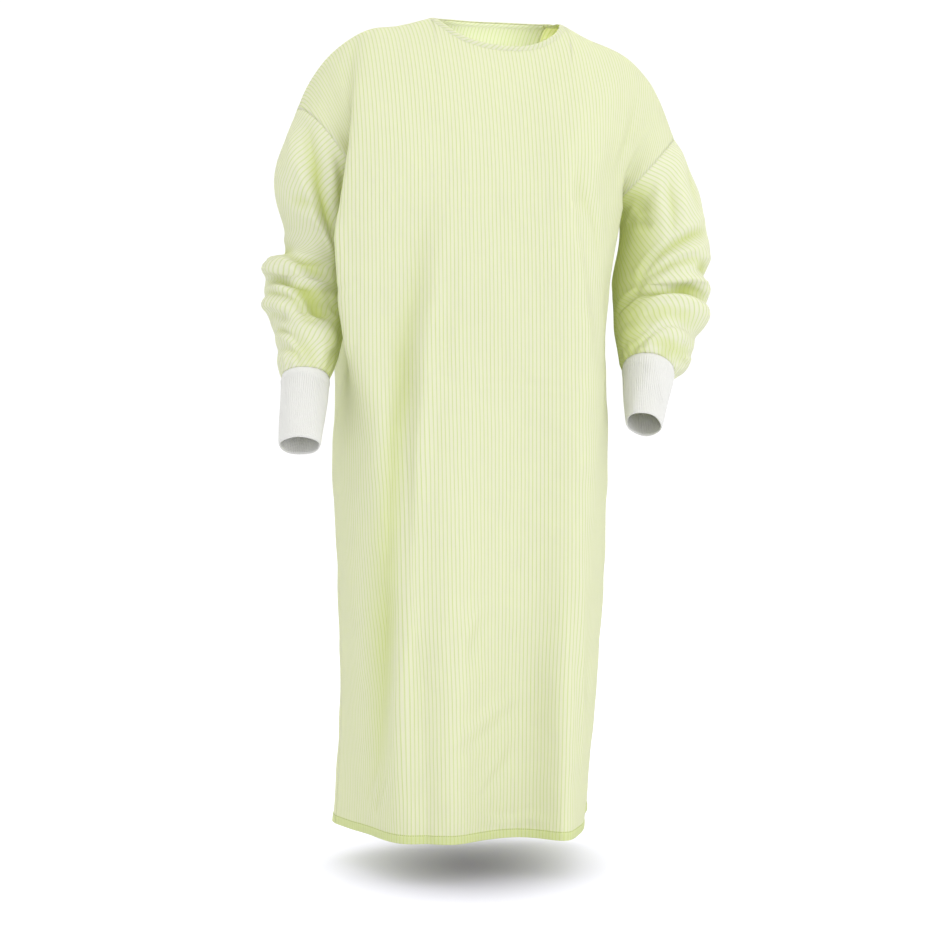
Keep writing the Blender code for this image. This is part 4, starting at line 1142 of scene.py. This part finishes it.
scene = bpy.context.scene
floor_mesh = bpy.data.meshes.new("floor")
corners = [(x * FLOOR_REACH, y * FLOOR_REACH, FLOOR_Z) for x, y in ((-1, -1), (1, -1), (1, 1), (-1, 1))]
floor_mesh.from_pydata(corners, [], [(0, 1, 2, 3)])
floor = bpy.data.objects.new("floor", floor_mesh)
scene.collection.objects.link(floor)
paint, tree, shader = new_material("white_floor_with_painted_shadow", {
    "Roughness": 1.0, "Specular IOR Level": 0.0, "Emission Strength": 1.0,
})
place = add(tree, "NewGeometry", {})
place = add(tree, "VectorMath", {0: place, 1: SHADOW_AT}, operation="SUBTRACT")
place = add(tree, "VectorRotate", {"Vector": place, "Angle": math.radians(-AZIMUTH)}, rotation_type="Z_AXIS")
place = add(tree, "VectorMath", {0: place, 1: SHADOW_REACH}, operation="DIVIDE")
place = add(tree, "VectorMath", {0: place}, operation="LENGTH").node.outputs["Value"]
# Painted shadow: the floor's colour darkens towards the shadow's centre.
near = add(tree, "MapRange", [place, 0.0, 1.0, 0.0, 1.0], interpolation_type="SMOOTHSTEP")
painted_shadow_colour = add(tree, "MixRGB", [near, (0.25, 0.24, 0.23, 1), (0.50, 0.50, 0.50, 1)])
tree.links.new(painted_shadow_colour, shader.inputs["Base Color"])
# Painted light: the floor gives light of its own, dimmer and bluer in the painted shadow.
glow = add(tree, "MixRGB", [near, (0.10, 0.095, 0.165, 1), (0.53, 0.53, 0.60, 1)])
tree.links.new(glow, shader.inputs["Emission Color"])
floor_mesh.materials.append(paint)

room = bpy.data.worlds.new("white_room")
scene.world = room
room.use_nodes = True
tree = room.node_tree
place = add(tree, "TexCoord", {})
parts = add(tree, "SeparateXYZ", {0: place}).node.outputs
side = add(tree, "MapRange", [parts[0], -0.8, 0.8, *ROOM_SIDES])
behind = add(tree, "MapRange", [parts[1], -0.25, 0.45, 0.0, 1.0], interpolation_type="SMOOTHSTEP")
gap = calc(tree, "SUBTRACT", ROOM_BEHIND, side)
gap = calc(tree, "MULTIPLY", gap, behind)
level = calc(tree, "ADD", side, gap)
tree.links.new(level, tree.nodes["Background"].inputs["Strength"])
tree.nodes["Background"].inputs["Color"].default_value = (1, 1, 1, 1)


def aim(lamp, place, target):
    """Put a light or camera in its place, pointing at its target."""
    made = bpy.data.objects.new(lamp.name, lamp)
    scene.collection.objects.link(made)
    made.location = place
    made.rotation_euler = (Vector(target) - Vector(place)).to_track_quat("-Z", "Y").to_euler()
    return made


def light(name, kind, energy, place, target, **settings):
    """Light of one kind in its place, pointing at its target."""
    lamp = bpy.data.lights.new(name, kind)
    lamp.energy = energy
    for key, value in settings.items():
        setattr(lamp, key, value)
    aim(lamp, place, target)


light(
    "key_softbox", "AREA", 15, (1.5, -2.5, 0.35), (0.0, 0.0, -0.55),
    shape="RECTANGLE", size=1.6, size_y=2.0,
)
light("front_softbox", "AREA", 15, (-0.9, -3.4, -0.5), (0.0, 0.0, -0.6), size=1.0)
light(
    "inside_lamp", "SPOT", 1.6, (0.0, -0.05, -0.16), (0.0, 0.09, -0.01),
    shadow_soft_size=0.03, spot_size=math.radians(80), spot_blend=1.0, color=(0.84, 0.86, 1.0),
)
light("overhead_soft", "SUN", 1.5, (0.15, -0.35, 3.0), (0.0, 0.0, 0.0), angle=math.radians(120))

turn = math.radians(AZIMUTH)
right = Vector((math.cos(turn), math.sin(turn), 0))
target = Vector((0, 0, EYE[0])) - right * EYE[2]
lens = bpy.data.cameras.new("camera")
lens.sensor_width = 36
lens.lens = LENS
scene.camera = aim(lens, target + Vector((math.sin(turn), -math.cos(turn), 0)) * EYE[1], target)
scene.view_settings.view_transform = "Standard"
